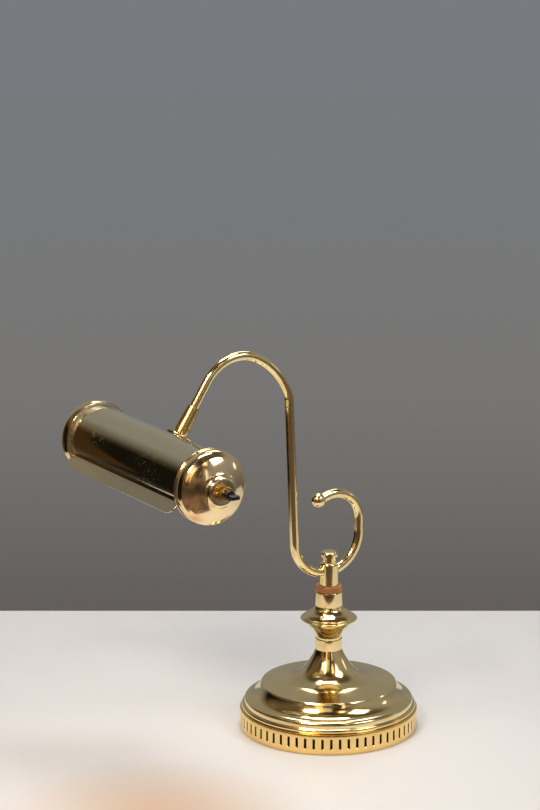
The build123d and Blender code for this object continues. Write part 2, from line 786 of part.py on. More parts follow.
def cap_outline(side, wall):
    """Outline of the filled cap, on the outside or one wall in."""
    skirt = skirt_outer_radius - wall
    boss = boss_radius - wall
    crown = boss - boss_taper
    top = side * (boss_top - wall)
    skirt_corner = (side * skirt_end, skirt)
    shoulder_mid = shoulder_point(side, (join_angle + math.radians(90)) / 2, wall)
    dome_foot = shoulder_point(side, join_angle, wall)
    Polyline((top, 0), (side * rim_start, 0), (side * rim_start, skirt), skirt_corner)
    ThreePointArc(skirt_corner, shoulder_mid, dome_foot)
    ThreePointArc(dome_foot, dome_point(side, (dome_foot[1] + boss) / 2, wall), dome_point(side, boss, wall))
    Polyline(dome_point(side, boss, wall), (top, crown), (top, 0))


def end_cap(side, hole_radius):
    """One domed cap, its centre hole sized for what holds it on."""
    with BuildPart() as cap:
        with BuildSketch(cap_section):
            with BuildLine():
                cap_outline(side, 0)
            make_face()
            with BuildLine():
                cap_outline(side, cap_shell_wall)
            make_face(mode=Mode.SUBTRACT)
            with Locations((side * (rim_start + rim_width / 2), skirt_inner_radius + rim_thickness / 2)):
                Rectangle(rim_width, rim_thickness)
        revolve(axis=shade_axis)
        with BuildSketch(hood.offset(side * (boss_top + overrun))):
            Circle(hole_radius)
        extrude(amount=-side * overrun * 2, mode=Mode.SUBTRACT)
    return cap


switch_cap = end_cap(1, switch_bushing_radius)
save(switch_cap, "switch_cap")
plain_cap = end_cap(-1, screw_radius + passing_gap)
save(plain_cap, "plain_cap")

# Screw and nut that hold the plain cap
with BuildPart() as cap_screw:
    with BuildSketch(hood.offset(-boss_top)):
        Circle(screw_radius + screw_head_width)
    extrude(amount=-screw_head_height)
    fillet(cap_screw.edges().group_by(Axis.X)[0], radius=screw_head_height / 2)
    with BuildSketch(hood.offset(-boss_top)):
        Circle(screw_radius)
    extrude(amount=boss_top - half_sheet + screw_nut_height)
save(cap_screw, "cap_screw")

with BuildPart() as cap_nut:
    with BuildSketch(hood.offset(-half_sheet)):
        RegularPolygon(screw_radius + screw_nut_wall, hex_sides, major_radius=False)
        Circle(screw_radius, mode=Mode.SUBTRACT)
    extrude(amount=screw_nut_height)
save(cap_nut, "cap_nut")

# Lamp holder on the switch end plate
holder_bore_radius = lamp_cap_radius + holder_gap
holder_seat = half_sheet - holder_floor
lamp_cap_end = holder_seat - lamp_contact_height
lamp_cap_mouth = lamp_cap_end - lamp_cap_length
holder_mouth = lamp_cap_mouth - holder_lead_length
with BuildPart() as lamp_holder:
    with BuildSketch(hood.offset(holder_mouth)):
        Circle(holder_bore_radius + holder_wall)
    extrude(amount=half_sheet - holder_mouth)
    with BuildSketch(hood.offset(holder_mouth)):
        Circle(holder_bore_radius)
    extrude(amount=holder_seat - holder_mouth, mode=Mode.SUBTRACT)
    with BuildSketch(hood.offset(half_sheet)):
        Circle(holder_nipple_radius)
    extrude(amount=-holder_nipple_grip, mode=Mode.SUBTRACT)
save(lamp_holder, "lamp_holder")

# Switch body behind the boss, with the nipple that ties it to the holder
boss_under = boss_top - cap_shell_wall
switch_start = half_sheet + plate_thickness + switch_back_gap
switch_body_radius = boss_radius - boss_taper - cap_shell_wall - switch_side_gap
nipple_length = switch_start - half_sheet + holder_nipple_grip * 2
with BuildPart() as holder_nipple:
    with BuildSketch(hood.offset(half_sheet - holder_nipple_grip)):
        Circle(holder_nipple_radius)
        Circle(holder_nipple_radius - holder_nipple_wall, mode=Mode.SUBTRACT)
    extrude(amount=nipple_length)
save(holder_nipple, "holder_nipple")

with BuildPart() as switch_body:
    with BuildSketch(hood.offset(switch_start)):
        Circle(switch_body_radius)
    extrude(amount=boss_under - switch_start)
    with BuildSketch(hood.offset(switch_start)):
        Circle(holder_nipple_radius)
    extrude(amount=holder_nipple_grip, mode=Mode.SUBTRACT)
    with BuildSketch(hood.offset(boss_under)):
        Circle(key_shaft_radius + running_gap)
    extrude(amount=-key_shaft_depth, mode=Mode.SUBTRACT)
save(switch_body, "switch_body")

with BuildPart() as switch_bushing:
    with BuildSketch(hood.offset(boss_under)):
        Circle(switch_bushing_radius)
        Circle(key_shaft_radius + running_gap, mode=Mode.SUBTRACT)
    extrude(amount=cap_shell_wall + switch_bushing_length)
save(switch_bushing, "switch_bushing")

with BuildPart() as switch_nut:
    with BuildSketch(hood.offset(boss_top)):
        Circle(switch_bushing_radius + switch_nut_wall)
        Circle(switch_bushing_radius, mode=Mode.SUBTRACT)
    extrude(amount=switch_nut_height)
save(switch_nut, "switch_nut")

# Turn key
key_start = boss_under - key_shaft_depth + key_gap
collar_start = boss_top + switch_bushing_length + key_gap
waist_start = collar_start + key_collar_length
paddle_start = waist_start + key_waist_length
with BuildPart() as switch_key:
    with BuildSketch(hood.offset(paddle_start)):
        Rectangle(key_paddle_width, key_paddle_thickness)
    extrude(amount=key_paddle_length)
    fillet(switch_key.edges().filter_by(Axis.X), radius=key_paddle_fillet)
    fillet(switch_key.edges().group_by(Axis.X)[-1], radius=key_paddle_fillet)
    with BuildSketch(hood.offset(waist_start)):
        Circle(key_waist_radius)
    extrude(amount=key_waist_length)
    with BuildSketch(hood.offset(collar_start)):
        Circle(key_collar_radius)
    extrude(amount=key_collar_length)
    with BuildSketch(hood.offset(key_start)):
        Circle(key_shaft_radius)
    extrude(amount=collar_start - key_start)
save(switch_key, "switch_key")

# Tubular lamp: screw cap with its contact, and the glass
neck_radius = lamp_cap_radius - lamp_cap_wall
with BuildPart() as lamp_cap:
    with BuildSketch(hood.offset(lamp_cap_mouth)):
        Circle(lamp_cap_radius)
    extrude(amount=lamp_cap_length)
    with BuildSketch(hood.offset(lamp_cap_mouth)):
        Circle(neck_radius)
    extrude(amount=lamp_cap_length - lamp_cap_floor, mode=Mode.SUBTRACT)
    with BuildSketch(hood.offset(lamp_cap_end)):
        Circle(lamp_contact_radius)
    extrude(amount=lamp_contact_height)
save(lamp_cap, "lamp_cap")

glass_start = lamp_cap_mouth + glass_neck_grip
cone_start = holder_mouth - glass_neck_gap
tube_start = cone_start - glass_cone_length
tube_end = lamp_tip_gap - half_sheet + glass_radius


def glass_outline(wall):
    """Half outline of the lamp glass, on the outside or one wall in."""
    body = glass_radius - wall
    neck = neck_radius - wall
    tip = tube_end - body
    Polyline(
        (tip, 0), (glass_start, 0), (glass_start, neck), (cone_start, neck), (tube_start, body), (tube_end, body)
    )
    ThreePointArc((tube_end, body), (tube_end - body * diagonal_share, body * diagonal_share), (tip, 0))


with BuildPart() as lamp_glass:
    with BuildSketch(cap_section):
        with BuildLine():
            glass_outline(0)
        make_face()
        with BuildLine():
            glass_outline(glass_wall)
        make_face(mode=Mode.SUBTRACT)
    revolve(axis=shade_axis)
save(lamp_glass, "lamp_glass")
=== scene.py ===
import json
import math

import bmesh
import bpy
from mathutils import Matrix, Quaternion, Vector


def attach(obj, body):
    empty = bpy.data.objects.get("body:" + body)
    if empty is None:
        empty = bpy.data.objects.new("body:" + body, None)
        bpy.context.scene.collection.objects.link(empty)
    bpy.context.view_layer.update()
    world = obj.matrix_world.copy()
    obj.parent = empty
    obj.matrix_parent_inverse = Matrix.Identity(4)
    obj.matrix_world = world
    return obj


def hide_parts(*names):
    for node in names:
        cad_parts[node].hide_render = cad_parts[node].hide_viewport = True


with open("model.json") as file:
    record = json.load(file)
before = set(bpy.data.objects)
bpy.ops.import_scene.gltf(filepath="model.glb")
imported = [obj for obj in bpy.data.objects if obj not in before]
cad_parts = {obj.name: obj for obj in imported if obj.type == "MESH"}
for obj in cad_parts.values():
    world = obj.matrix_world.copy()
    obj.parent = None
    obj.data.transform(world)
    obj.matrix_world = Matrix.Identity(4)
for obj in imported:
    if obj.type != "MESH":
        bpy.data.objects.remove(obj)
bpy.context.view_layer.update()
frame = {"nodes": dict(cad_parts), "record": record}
nodes = frame["nodes"]
scene = bpy.context.scene

MM = 0.001

# Camera at the photograph's viewing angle
SENSOR_WIDTH = 36.0
LENS = 151.61
CAMERA_PLACE = (2.7404, -1.8240, 1.2002)
CAMERA_TILT = math.radians(75.31)
CAMERA_TURN = math.radians(57.39)
camera_data = bpy.data.cameras.new("camera")
camera_data.sensor_width = SENSOR_WIDTH
camera_data.lens = LENS
camera = bpy.data.objects.new("camera", camera_data)
camera.location = CAMERA_PLACE
camera.rotation_euler = (CAMERA_TILT, 0.0, CAMERA_TURN)
scene.collection.objects.link(camera)
scene.camera = camera
scene.view_settings.view_transform = "Standard"
forward = Vector((-math.sin(CAMERA_TURN), math.cos(CAMERA_TURN), 0.0))
aside = Vector((math.cos(CAMERA_TURN), math.sin(CAMERA_TURN), 0.0))
upward = Vector((0.0, 0.0, 1.0))

# Node helpers, with the sockets of the mix node that take and give colours
MIX_FIRST = 6
MIX_SECOND = 7
MIX_RESULT = 2


class Nodes:
    """Builds the node tree of one material or of the world."""

    def __init__(self, owner):
        owner.use_nodes = True
        self.owner = owner
        self.tree = owner.node_tree
        self.where = self.add("ShaderNodeTexCoord")
        self.coords = self.where.outputs["Object"]

    def add(self, kind, **settings):
        node = self.tree.nodes.new(kind)
        for key, value in settings.items():
            setattr(node, key, value)
        return node

    def put(self, socket, value):
        if isinstance(value, bpy.types.NodeSocket):
            self.tree.links.new(value, socket)
        else:
            socket.default_value = value

    def stretch(self, scale, turn_deg):
        node = self.add("ShaderNodeMapping")
        self.put(node.inputs["Vector"], self.coords)
        node.inputs["Scale"].default_value = scale
        node.inputs["Rotation"].default_value = [math.radians(angle) for angle in turn_deg]
        return node.outputs["Vector"]

    def noise(self, scale, detail=2.0, rough=0.5, vector=None, distortion=0.0):
        node = self.add("ShaderNodeTexNoise")
        self.put(node.inputs["Vector"], vector or self.coords)
        node.inputs["Scale"].default_value = scale
        node.inputs["Detail"].default_value = detail
        node.inputs["Roughness"].default_value = rough
        node.inputs["Distortion"].default_value = distortion
        return node.outputs["Fac"]

    def cells(self, scale):
        node = self.add("ShaderNodeTexVoronoi")
        self.put(node.inputs["Vector"], self.coords)
        node.inputs["Scale"].default_value = scale
        return node.outputs["Distance"]

    def ramp(self, value, low, high, start=0.0, end=1.0):
        node = self.add("ShaderNodeMapRange", clamp=True)
        self.put(node.inputs["Value"], value)
        node.inputs["From Min"].default_value = low
        node.inputs["From Max"].default_value = high
        node.inputs["To Min"].default_value = start
        node.inputs["To Max"].default_value = end
        return node.outputs["Result"]

    def math(self, operation, first, second=0.0):
        node = self.add("ShaderNodeMath", operation=operation)
        self.put(node.inputs[0], first)
        self.put(node.inputs[1], second)
        return node.outputs["Value"]

    def highest(self, values):
        top = values[0]
        for value in values[1:]:
            top = self.math("MAXIMUM", top, value)
        return top

    def dot(self, vector, direction):
        node = self.add("ShaderNodeVectorMath", operation="DOT_PRODUCT")
        self.put(node.inputs[0], vector)
        node.inputs[1].default_value = direction
        return node.outputs["Value"]

    def near(self, point, inside, outside):
        node = self.add("ShaderNodeVectorMath", operation="DISTANCE")
        self.put(node.inputs[0], self.coords)
        node.inputs[1].default_value = point
        return self.ramp(node.outputs["Value"], inside, outside, start=1.0, end=0.0)

    def mix(self, share, first, second):
        node = self.add("ShaderNodeMix", data_type="RGBA")
        self.put(node.inputs[0], share)
        self.put(node.inputs[MIX_FIRST], first)
        self.put(node.inputs[MIX_SECOND], second)
        return node.outputs[MIX_RESULT]

    def bump(self, height, strength, distance, normal=None):
        node = self.add("ShaderNodeBump")
        self.put(node.inputs["Height"], height)
        node.inputs["Strength"].default_value = strength
        node.inputs["Distance"].default_value = distance
        if normal is not None:
            self.put(node.inputs["Normal"], normal)
        return node.outputs["Normal"]


def opaque(colour):
    return tuple(colour) + (1.0,)


# Brass finishes: texture scales are per metre, depths are in metres
CLOUD_SCALE = 38.0
CLOUD_STAIN = (0.5, 0.78)
CLOUD_STAIN_SHARE = 0.35
CLOUD_WEAR = (0.35, 0.75)
CLOUD_WEAR_SHARES = (0.8, 1.4)
GRAIN_SCALE = 420.0
GRAIN_WEAR = (0.4, 0.7)
GRAIN_WEAR_SHARE = 0.25
PIT_SCALE = 330.0
PIT_EDGE = (0.03, 0.09)
PIT_PATCH_SCALE = 60.0
PIT_PATCHES = (0.62, 0.74)
PIT_COLOUR = (0.10, 0.06, 0.02)
PIT_STAIN_SHARE = 0.5
PIT_DEPTH_SHARE = 0.4
SURFACE_STRENGTH = 0.15
SURFACE_DEPTH = 0.00003
WAVE_SCALE = 42.0
WAVE_DEPTH = 0.001
WIPES = (((900.0, 40.0, 60.0), (20.0, 35.0, 15.0), 0.68), ((50.0, 1000.0, 45.0), (50.0, 10.0, 70.0), 0.69))
WIPE_SOFTNESS = 0.08
WIPE_PATCH_SCALE = 22.0
WIPE_PATCHES = (0.48, 0.7)
HAIRS = ((75.0, (25.0, 10.0, 40.0)), (105.0, (70.0, 30.0, 10.0)))
HAIR_STRETCH = (1.0, 1.6, 1.0)
HAIR_MIDDLE = 0.5
HAIR_EDGE = (0.004, 0.013)
HAIR_PIECES = (0.5, 0.56)
HAIR_BREAK_SHARE = 2.2
HAIR_ROUGHNESS = 0.3
HAIR_DEPTH_SHARE = 0.8


def pitting(made):
    """Small round pits that come in patches."""
    pits = made.ramp(made.cells(PIT_SCALE), *PIT_EDGE, start=1.0, end=0.0)
    patches = made.ramp(made.noise(PIT_PATCH_SCALE), *PIT_PATCHES)
    return made.math("MULTIPLY", pits, patches)


def wiping(made):
    """Fine straight scratches in two directions, in patches."""
    lines = []
    for scale, turn_deg, level in WIPES:
        grain = made.noise(1.0, detail=3.0, rough=0.6, vector=made.stretch(scale, turn_deg))
        lines.append(made.ramp(grain, level, level + WIPE_SOFTNESS))
    patches = made.ramp(made.noise(WIPE_PATCH_SCALE), *WIPE_PATCHES)
    return made.math("MULTIPLY", made.highest(lines), patches)


def scuffing(made, places):
    """Broken curly hair lines, along the middle contour of a noise, near the places given."""
    lines = []
    for scale, turn_deg in HAIRS:
        noise = made.noise(scale, detail=1.0, rough=0.4, vector=made.stretch(HAIR_STRETCH, turn_deg))
        off_middle = made.math("ABSOLUTE", made.math("SUBTRACT", noise, HAIR_MIDDLE))
        line = made.ramp(off_middle, *HAIR_EDGE, start=1.0, end=0.0)
        breaks = made.noise(scale * HAIR_BREAK_SHARE, detail=1.0, rough=0.4)
        lines.append(made.math("MULTIPLY", line, made.ramp(breaks, *HAIR_PIECES)))
    zones = [made.near(place, inside, outside) for place, inside, outside in places]
    return made.math("MULTIPLY", made.highest(lines), made.highest(zones))


def brass(name, colour, dull, rough, scratch, scuffs=(), wave=0.0):
    """Brass with tarnish clouds, pits, wiping scratches, scuffs near given places and a wavy surface."""
    made = Nodes(bpy.data.materials.new(name))
    shader = made.tree.nodes["Principled BSDF"]
    clouds = made.noise(CLOUD_SCALE, detail=4.0, rough=0.6)
    grain = made.noise(GRAIN_SCALE, detail=3.0, rough=0.6)
    pits = pitting(made)
    stain = made.ramp(clouds, *CLOUD_STAIN, end=CLOUD_STAIN_SHARE)
    tone = made.mix(stain, opaque(colour), opaque(dull))
    tone = made.mix(made.math("MULTIPLY", pits, PIT_STAIN_SHARE), tone, opaque(PIT_COLOUR))
    least, most = [rough * share for share in CLOUD_WEAR_SHARES]
    worn = made.ramp(clouds, *CLOUD_WEAR, start=least, end=most)
    worn = made.math("ADD", worn, made.ramp(grain, *GRAIN_WEAR, end=rough * GRAIN_WEAR_SHARE))
    worn = made.math("ADD", worn, made.math("MULTIPLY", wiping(made), scratch))
    height = made.math("MULTIPLY", pits, -PIT_DEPTH_SHARE)
    if scuffs:
        hairs = scuffing(made, scuffs)
        worn = made.math("ADD", worn, made.math("MULTIPLY", hairs, HAIR_ROUGHNESS))
        height = made.math("ADD", height, made.math("MULTIPLY", hairs, -HAIR_DEPTH_SHARE))
    surface = made.bump(height, SURFACE_STRENGTH, SURFACE_DEPTH)
    if wave:
        surface = made.bump(made.noise(WAVE_SCALE, detail=1.0, rough=0.4), wave, WAVE_DEPTH, surface)
    made.put(shader.inputs["Base Color"], tone)
    shader.inputs["Metallic"].default_value = 1.0
    made.put(shader.inputs["Roughness"], worn)
    made.put(shader.inputs["Normal"], surface)
    return made.owner


# Other finishes
PATCH_SCALE_SHARE = 0.12
MOTTLE = (0.3, 0.75)
GLASS_TRANSMISSION = 0.55


def plain(name, colour, other, rough, spread, scale, metallic=0.0, bump=0.2, depth=0.00005):
    """A mottled solid finish with its own grain."""
    made = Nodes(bpy.data.materials.new(name))
    shader = made.tree.nodes["Principled BSDF"]
    grain = made.noise(scale, detail=5.0, rough=0.6)
    patch = made.noise(scale * PATCH_SCALE_SHARE, detail=3.0)
    tone = made.mix(made.ramp(patch, *MOTTLE), opaque(colour), opaque(other))
    made.put(shader.inputs["Base Color"], tone)
    worn = made.ramp(grain, *MOTTLE, start=rough - spread, end=rough + spread)
    made.put(shader.inputs["Roughness"], worn)
    shader.inputs["Metallic"].default_value = metallic
    made.put(shader.inputs["Normal"], made.bump(grain, bump, depth))
    return made.owner


# Scuffed places: the point in metres, the reach of full scuffing and where it ends
CAP_SCUFFS = (((0.124, -0.232, 0.289), 0.004, 0.014), ((0.118, -0.231, 0.328), 0.003, 0.010))
HOOD_SCUFFS = (((0.045, -0.236, 0.318), 0.012, 0.034), ((-0.055, -0.231, 0.330), 0.008, 0.026))

polished = brass(
    "polished_brass",
    (0.95, 0.765, 0.385),
    (0.70, 0.49, 0.19),
    rough=0.11,
    scratch=0.12,
    wave=0.03,
)
gallery_brass = brass("gallery_brass", (0.95, 0.69, 0.28), (0.72, 0.45, 0.15), rough=0.12, scratch=0.15)
satin = brass("satin_brass", (0.66, 0.45, 0.14), (0.45, 0.29, 0.09), rough=0.22, scratch=0.03)
cap_brass = brass(
    "cap_brass",
    (0.91, 0.72, 0.42),
    (0.66, 0.46, 0.23),
    rough=0.13,
    scratch=0.10,
    scuffs=CAP_SCUFFS,
    wave=0.24,
)
hood_brass = brass(
    "hood_brass",
    (0.87, 0.79, 0.54),
    (0.70, 0.61, 0.36),
    rough=0.085,
    scratch=0.15,
    scuffs=HOOD_SCUFFS,
    wave=0.03,
)
fibre = plain(
    "fibre",
    (0.54, 0.235, 0.075),
    (0.40, 0.155, 0.045),
    rough=0.5,
    spread=0.12,
    scale=900.0,
    bump=0.4,
)
iron = plain(
    "cast_iron",
    (0.05, 0.05, 0.05),
    (0.09, 0.075, 0.06),
    rough=0.7,
    spread=0.15,
    scale=500.0,
    metallic=0.6,
    bump=0.6,
    depth=0.0002,
)
felt = plain(
    "felt",
    (0.02, 0.05, 0.03),
    (0.035, 0.075, 0.045),
    rough=0.95,
    spread=0.04,
    scale=1500.0,
    bump=0.9,
    depth=0.0003,
)
zinc = plain(
    "zinc_steel",
    (0.50, 0.50, 0.48),
    (0.62, 0.61, 0.57),
    rough=0.32,
    spread=0.1,
    scale=700.0,
    metallic=1.0,
)
black = plain(
    "black_plastic",
    (0.012, 0.012, 0.012),
    (0.022, 0.02, 0.018),
    rough=0.32,
    spread=0.1,
    scale=1200.0,
)
ceramic = plain(
    "white_ceramic",
    (0.78, 0.76, 0.70),
    (0.70, 0.68, 0.61),
    rough=0.18,
    spread=0.06,
    scale=300.0,
)
aluminium = plain(
    "lamp_aluminium",
    (0.62, 0.62, 0.62),
    (0.74, 0.74, 0.73),
    rough=0.28,
    spread=0.08,
    scale=800.0,
    metallic=1.0,
)
jacket = plain(
    "lead_jacket",
    (0.02, 0.02, 0.02),
    (0.035, 0.03, 0.03),
    rough=0.6,
    spread=0.1,
    scale=800.0,
)
glass = plain(
    "lamp_glass",
    (0.93, 0.93, 0.90),
    (0.88, 0.88, 0.84),
    rough=0.42,
    spread=0.08,
    scale=400.0,
)
glass.node_tree.nodes["Principled BSDF"].inputs["Transmission Weight"].default_value = GLASS_TRANSMISSION

slot_material = {
    "polished_brass": polished,
    "satin_brass": satin,
    "fibre": fibre,
    "cast_iron": iron,
    "felt": felt,
    "zinc_steel": zinc,
    "black_plastic": black,
    "white_ceramic": ceramic,
    "lamp_aluminium": aluminium,
    "lead_jacket": jacket,
    "lamp_glass": glass,
}
CAD_SHARP_DEG = 24.0
node_slot = {}
for row in frame["record"]["subparts"]:
    node_slot[row["node"]] = row["material_slot"]
    mesh = nodes[row["node"]].data
    mesh.materials.clear()
    mesh.materials.append(slot_material[row["material_slot"]])
    mesh.shade_smooth()
    mesh.set_sharp_from_angle(angle=math.radians(CAD_SHARP_DEG))

# Mesh helpers
MERGE_DISTANCE = 0.0005


def finish_piece(build, node, body, material=None, sharp_deg=26.0):
    """Turns a bmesh in millimetres into the piece that stands for one CAD node."""
    bmesh.ops.remove_doubles(build, verts=build.verts[:], dist=MERGE_DISTANCE)
    bmesh.ops.recalc_face_normals(build, faces=build.faces[:])
    bmesh.ops.scale(build, vec=(MM, MM, MM), verts=build.verts[:])
    mesh = bpy.data.meshes.new(node + "_look")
    build.to_mesh(mesh)
    build.free()
    mesh.shade_smooth()
    mesh.set_sharp_from_angle(angle=math.radians(sharp_deg))
    piece = bpy.data.objects.new(node + "_look", mesh)
    scene.collection.objects.link(piece)
    mesh.materials.append(material or slot_material[node_slot[node]])
    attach(piece, body)
    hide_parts(node)
    return piece


def band(build, one, two):
    """Quads between two closed rings with as many points."""
    for step in range(len(one)):
        after = (step + 1) % len(one)
        build.faces.new((one[step], one[after], two[after], two[step]))


def strip(build, one, two):
    """Quads between two open rows with as many points."""
    for step in range(len(one) - 1):
        build.faces.new((one[step], one[step + 1], two[step + 1], two[step]))


def curve_through(points, steps):
    """A smooth row of points through the given ones."""
    spots = [Vector(point) for point in points]
    spans = [(end - start).length for start, end in zip(spots, spots[1:])]
    ways = [(end - start) / span for start, end, span in zip(spots, spots[1:], spans)]
    slopes = [ways[0]]
    for index in range(1, len(ways)):
        before = spans[index - 1]
        after = spans[index]
        slopes.append((ways[index] * before + ways[index - 1] * after) / (before + after))
    slopes.append(ways[-1])
    row = []
    for index, span in enumerate(spans):
        for step in range(steps):
            t = step / steps
            row.append(
                spots[index] * (2 * t ** 3 - 3 * t ** 2 + 1)
                + slopes[index] * span * (t ** 3 - 2 * t ** 2 + t)
                + spots[index + 1] * (3 * t ** 2 - 2 * t ** 3)
                + slopes[index + 1] * span * (t ** 3 - t ** 2)
            )
    row.append(spots[-1])
    return [tuple(point) for point in row]


def arc(centre, radius, start_deg, end_deg, steps):
    row = []
    for step in range(steps + 1):
        angle = math.radians(start_deg + (end_deg - start_deg) * step / steps)
        row.append((centre[0] + radius * math.cos(angle), centre[1] + radius * math.sin(angle)))
    return row


def between(start, end, shares):
    return [(start[0] + (end[0] - start[0]) * a, start[1] + (end[1] - start[1]) * b) for a, b in shares]


def sleeve(bore, radius, foot, top):
    """The section of a plain ring as radius and height points."""
    return [(bore, foot), (radius, foot), (radius, top), (bore, top)]


def inset(points, distance):
    """A row of radius and height points shifted inwards, square to the row."""
    shifted = []
    last = len(points) - 1
    for index, point in enumerate(points):
        run = Vector(points[min(index + 1, last)]) - Vector(points[max(index - 1, 0)])
        run.normalize()
        shifted.append((point[0] - run[1] * distance, point[1] + run[0] * distance))
    return shifted


ON_AXIS = 0.001
CORNER_REACH_SHARE = 0.45


def soften(points, radius, steps=4, corner_deg=24.0):
    """Rounds the sharp corners of a closed outline."""
    row = []
    count = len(points)
    for index in range(count):
        here = Vector(points[index])
        back = Vector(points[index - 1]) - here
        ahead = Vector(points[(index + 1) % count]) - here
        bend_deg = math.degrees(back.angle(-ahead)) if back.length and ahead.length else 0.0
        if bend_deg < corner_deg or here[0] < ON_AXIS:
            row.append(tuple(here))
            continue
        reach = min(radius, back.length * CORNER_REACH_SHARE, ahead.length * CORNER_REACH_SHARE)
        first = here + back.normalized() * reach
        second = here + ahead.normalized() * reach
        for step in range(steps + 1):
            t = step / steps
            row.append(tuple(first * (1 - t) ** 2 + here * 2 * t * (1 - t) + second * t ** 2))
    return row


def axis_place(origin, axis, side=(1.0, 0.0, 0.0)):
    """Matrix whose Z runs along the axis and whose X is square to it."""
    along = Vector(axis).normalized()
    across = Vector(side)
    across = (across - along * across.dot(along)).normalized()
    up = along.cross(across)
    turn = Matrix((across, up, along)).transposed().to_4x4()
    return Matrix.Translation(Vector(origin)) @ turn


def turned(node, body, outline, place=Matrix(), segments=144, ripple=None, material=None):
    """A lathe-turned piece from a closed outline of radius and height points."""
    build = bmesh.new()
    rings = []
    for radius, height in outline:
        if radius < ON_AXIS:
            rings.append([build.verts.new(place @ Vector((0.0, 0.0, height)))])
            continue
        ring = []
        for step in range(segments):
            angle = 2 * math.pi * step / segments
            r, h = ripple(angle, radius, height) if ripple else (radius, height)
            ring.append(build.verts.new(place @ Vector((r * math.cos(angle), r * math.sin(angle), h))))
        rings.append(ring)
    for one, two in zip(rings, rings[1:] + rings[:1]):
        for step in range(segments):
            after = (step + 1) % segments
            corners = [one[step % len(one)], one[after % len(one)]]
            corners += [two[after % len(two)], two[step % len(two)]]
            corners = list(dict.fromkeys(corners))
            if len(corners) > 2:
                build.faces.new(corners)
    return finish_piece(build, node, body, material)


# Sizes from here to the stage are in millimetres: those of the solids, and those of the finer detail
RUNNING_GAP = 0.05
THRUST_GAP = 0.1
PASSING_GAP = 0.2

# Gallery: pierced ring with softened slot edges, foot and crest
BASE_RADIUS = 90.3
GALLERY_HEIGHT = 20.4
GALLERY_WALL = 1.2
GALLERY_FLANGE = 8.5
FOOT_ROUND = 0.5
CREST_ROUND = 0.6
ROUND_SHARE = 0.3
SLOT_COUNT = 64
SLOT_START_DEG = 2.1
SLOT_HALF = 1.25
SLOT_FOOT = 6.0
SLOT_HEAD = 16.0
SLOT_EDGE = 0.3
SLOT_CORNER = 0.5
SLOT_CORNER_STEPS = 3
CORD_SLOT = 16
CORD_HOLE = 4.0
OUTLINE_POINTS = 4 * (SLOT_CORNER_STEPS + 1)
CELL_DEG = 360.0 / SLOT_COUNT
CELL_HALF = math.radians(CELL_DEG / 2) * BASE_RADIUS
SLOT_FLAT = SLOT_HALF - SLOT_CORNER
CELL_MID = (CELL_HALF + SLOT_FLAT) / 2
FLANGE_UNDER = GALLERY_HEIGHT - GALLERY_WALL
gallery = bmesh.new()


def on_ring(mid_deg, across, depth, height):
    turn = math.radians(mid_deg) + across / BASE_RADIUS
    radius = BASE_RADIUS - depth
    return gallery.verts.new((radius * math.cos(turn), radius * math.sin(turn), height))


def slot_outline(grow, round_hole):
    """A slot with rounded corners, or the cord's round hole, as distances across and heights."""
    if round_hole:
        half_step = 180.0 / OUTLINE_POINTS
        middle = (0.0, (SLOT_FOOT + SLOT_HEAD) / 2)
        return arc(middle, CORD_HOLE + grow, half_step, 360.0 - half_step, OUTLINE_POINTS - 1)
    side = SLOT_FLAT + grow
    top = SLOT_HEAD + grow - SLOT_CORNER
    foot = SLOT_FOOT - grow + SLOT_CORNER
    outline = []
    for quarter, centre in enumerate(((side, top), (-side, top), (-side, foot), (side, foot))):
        outline += arc(centre, SLOT_CORNER, 90 * quarter, 90 * quarter + 90, SLOT_CORNER_STEPS)
    return outline


def cell_outline(top, foot):
    """The wall's outline round one slot, one point for each of the slot's."""
    upper = [(CELL_HALF, SLOT_HEAD - SLOT_CORNER), (CELL_HALF, top), (CELL_MID, top), (SLOT_FLAT, top)]
    lower = [(SLOT_FLAT, foot), (CELL_MID, foot), (CELL_HALF, foot), (CELL_HALF, SLOT_FOOT + SLOT_CORNER)]
    mirrored = [(-x, z) for x, z in upper[::-1]] + [(-x, z) for x, z in lower[::-1]]
    return upper + mirrored + lower


columns = (-CELL_HALF, -CELL_MID, -SLOT_FLAT, SLOT_FLAT, CELL_MID, CELL_HALF)
crest = (
    (0.0, GALLERY_HEIGHT - CREST_ROUND),
    (CREST_ROUND * ROUND_SHARE, GALLERY_HEIGHT - CREST_ROUND * ROUND_SHARE),
    (CREST_ROUND, GALLERY_HEIGHT),
    (GALLERY_FLANGE, GALLERY_HEIGHT),
    (GALLERY_FLANGE, FLANGE_UNDER),
    (GALLERY_WALL, FLANGE_UNDER),
)
foot = (
    (GALLERY_WALL, FOOT_ROUND),
    (GALLERY_WALL - FOOT_ROUND * ROUND_SHARE, FOOT_ROUND * ROUND_SHARE),
    (GALLERY_WALL - FOOT_ROUND, 0.0),
    (FOOT_ROUND, 0.0),
    (FOOT_ROUND * ROUND_SHARE, FOOT_ROUND * ROUND_SHARE),
    (0.0, FOOT_ROUND),
)
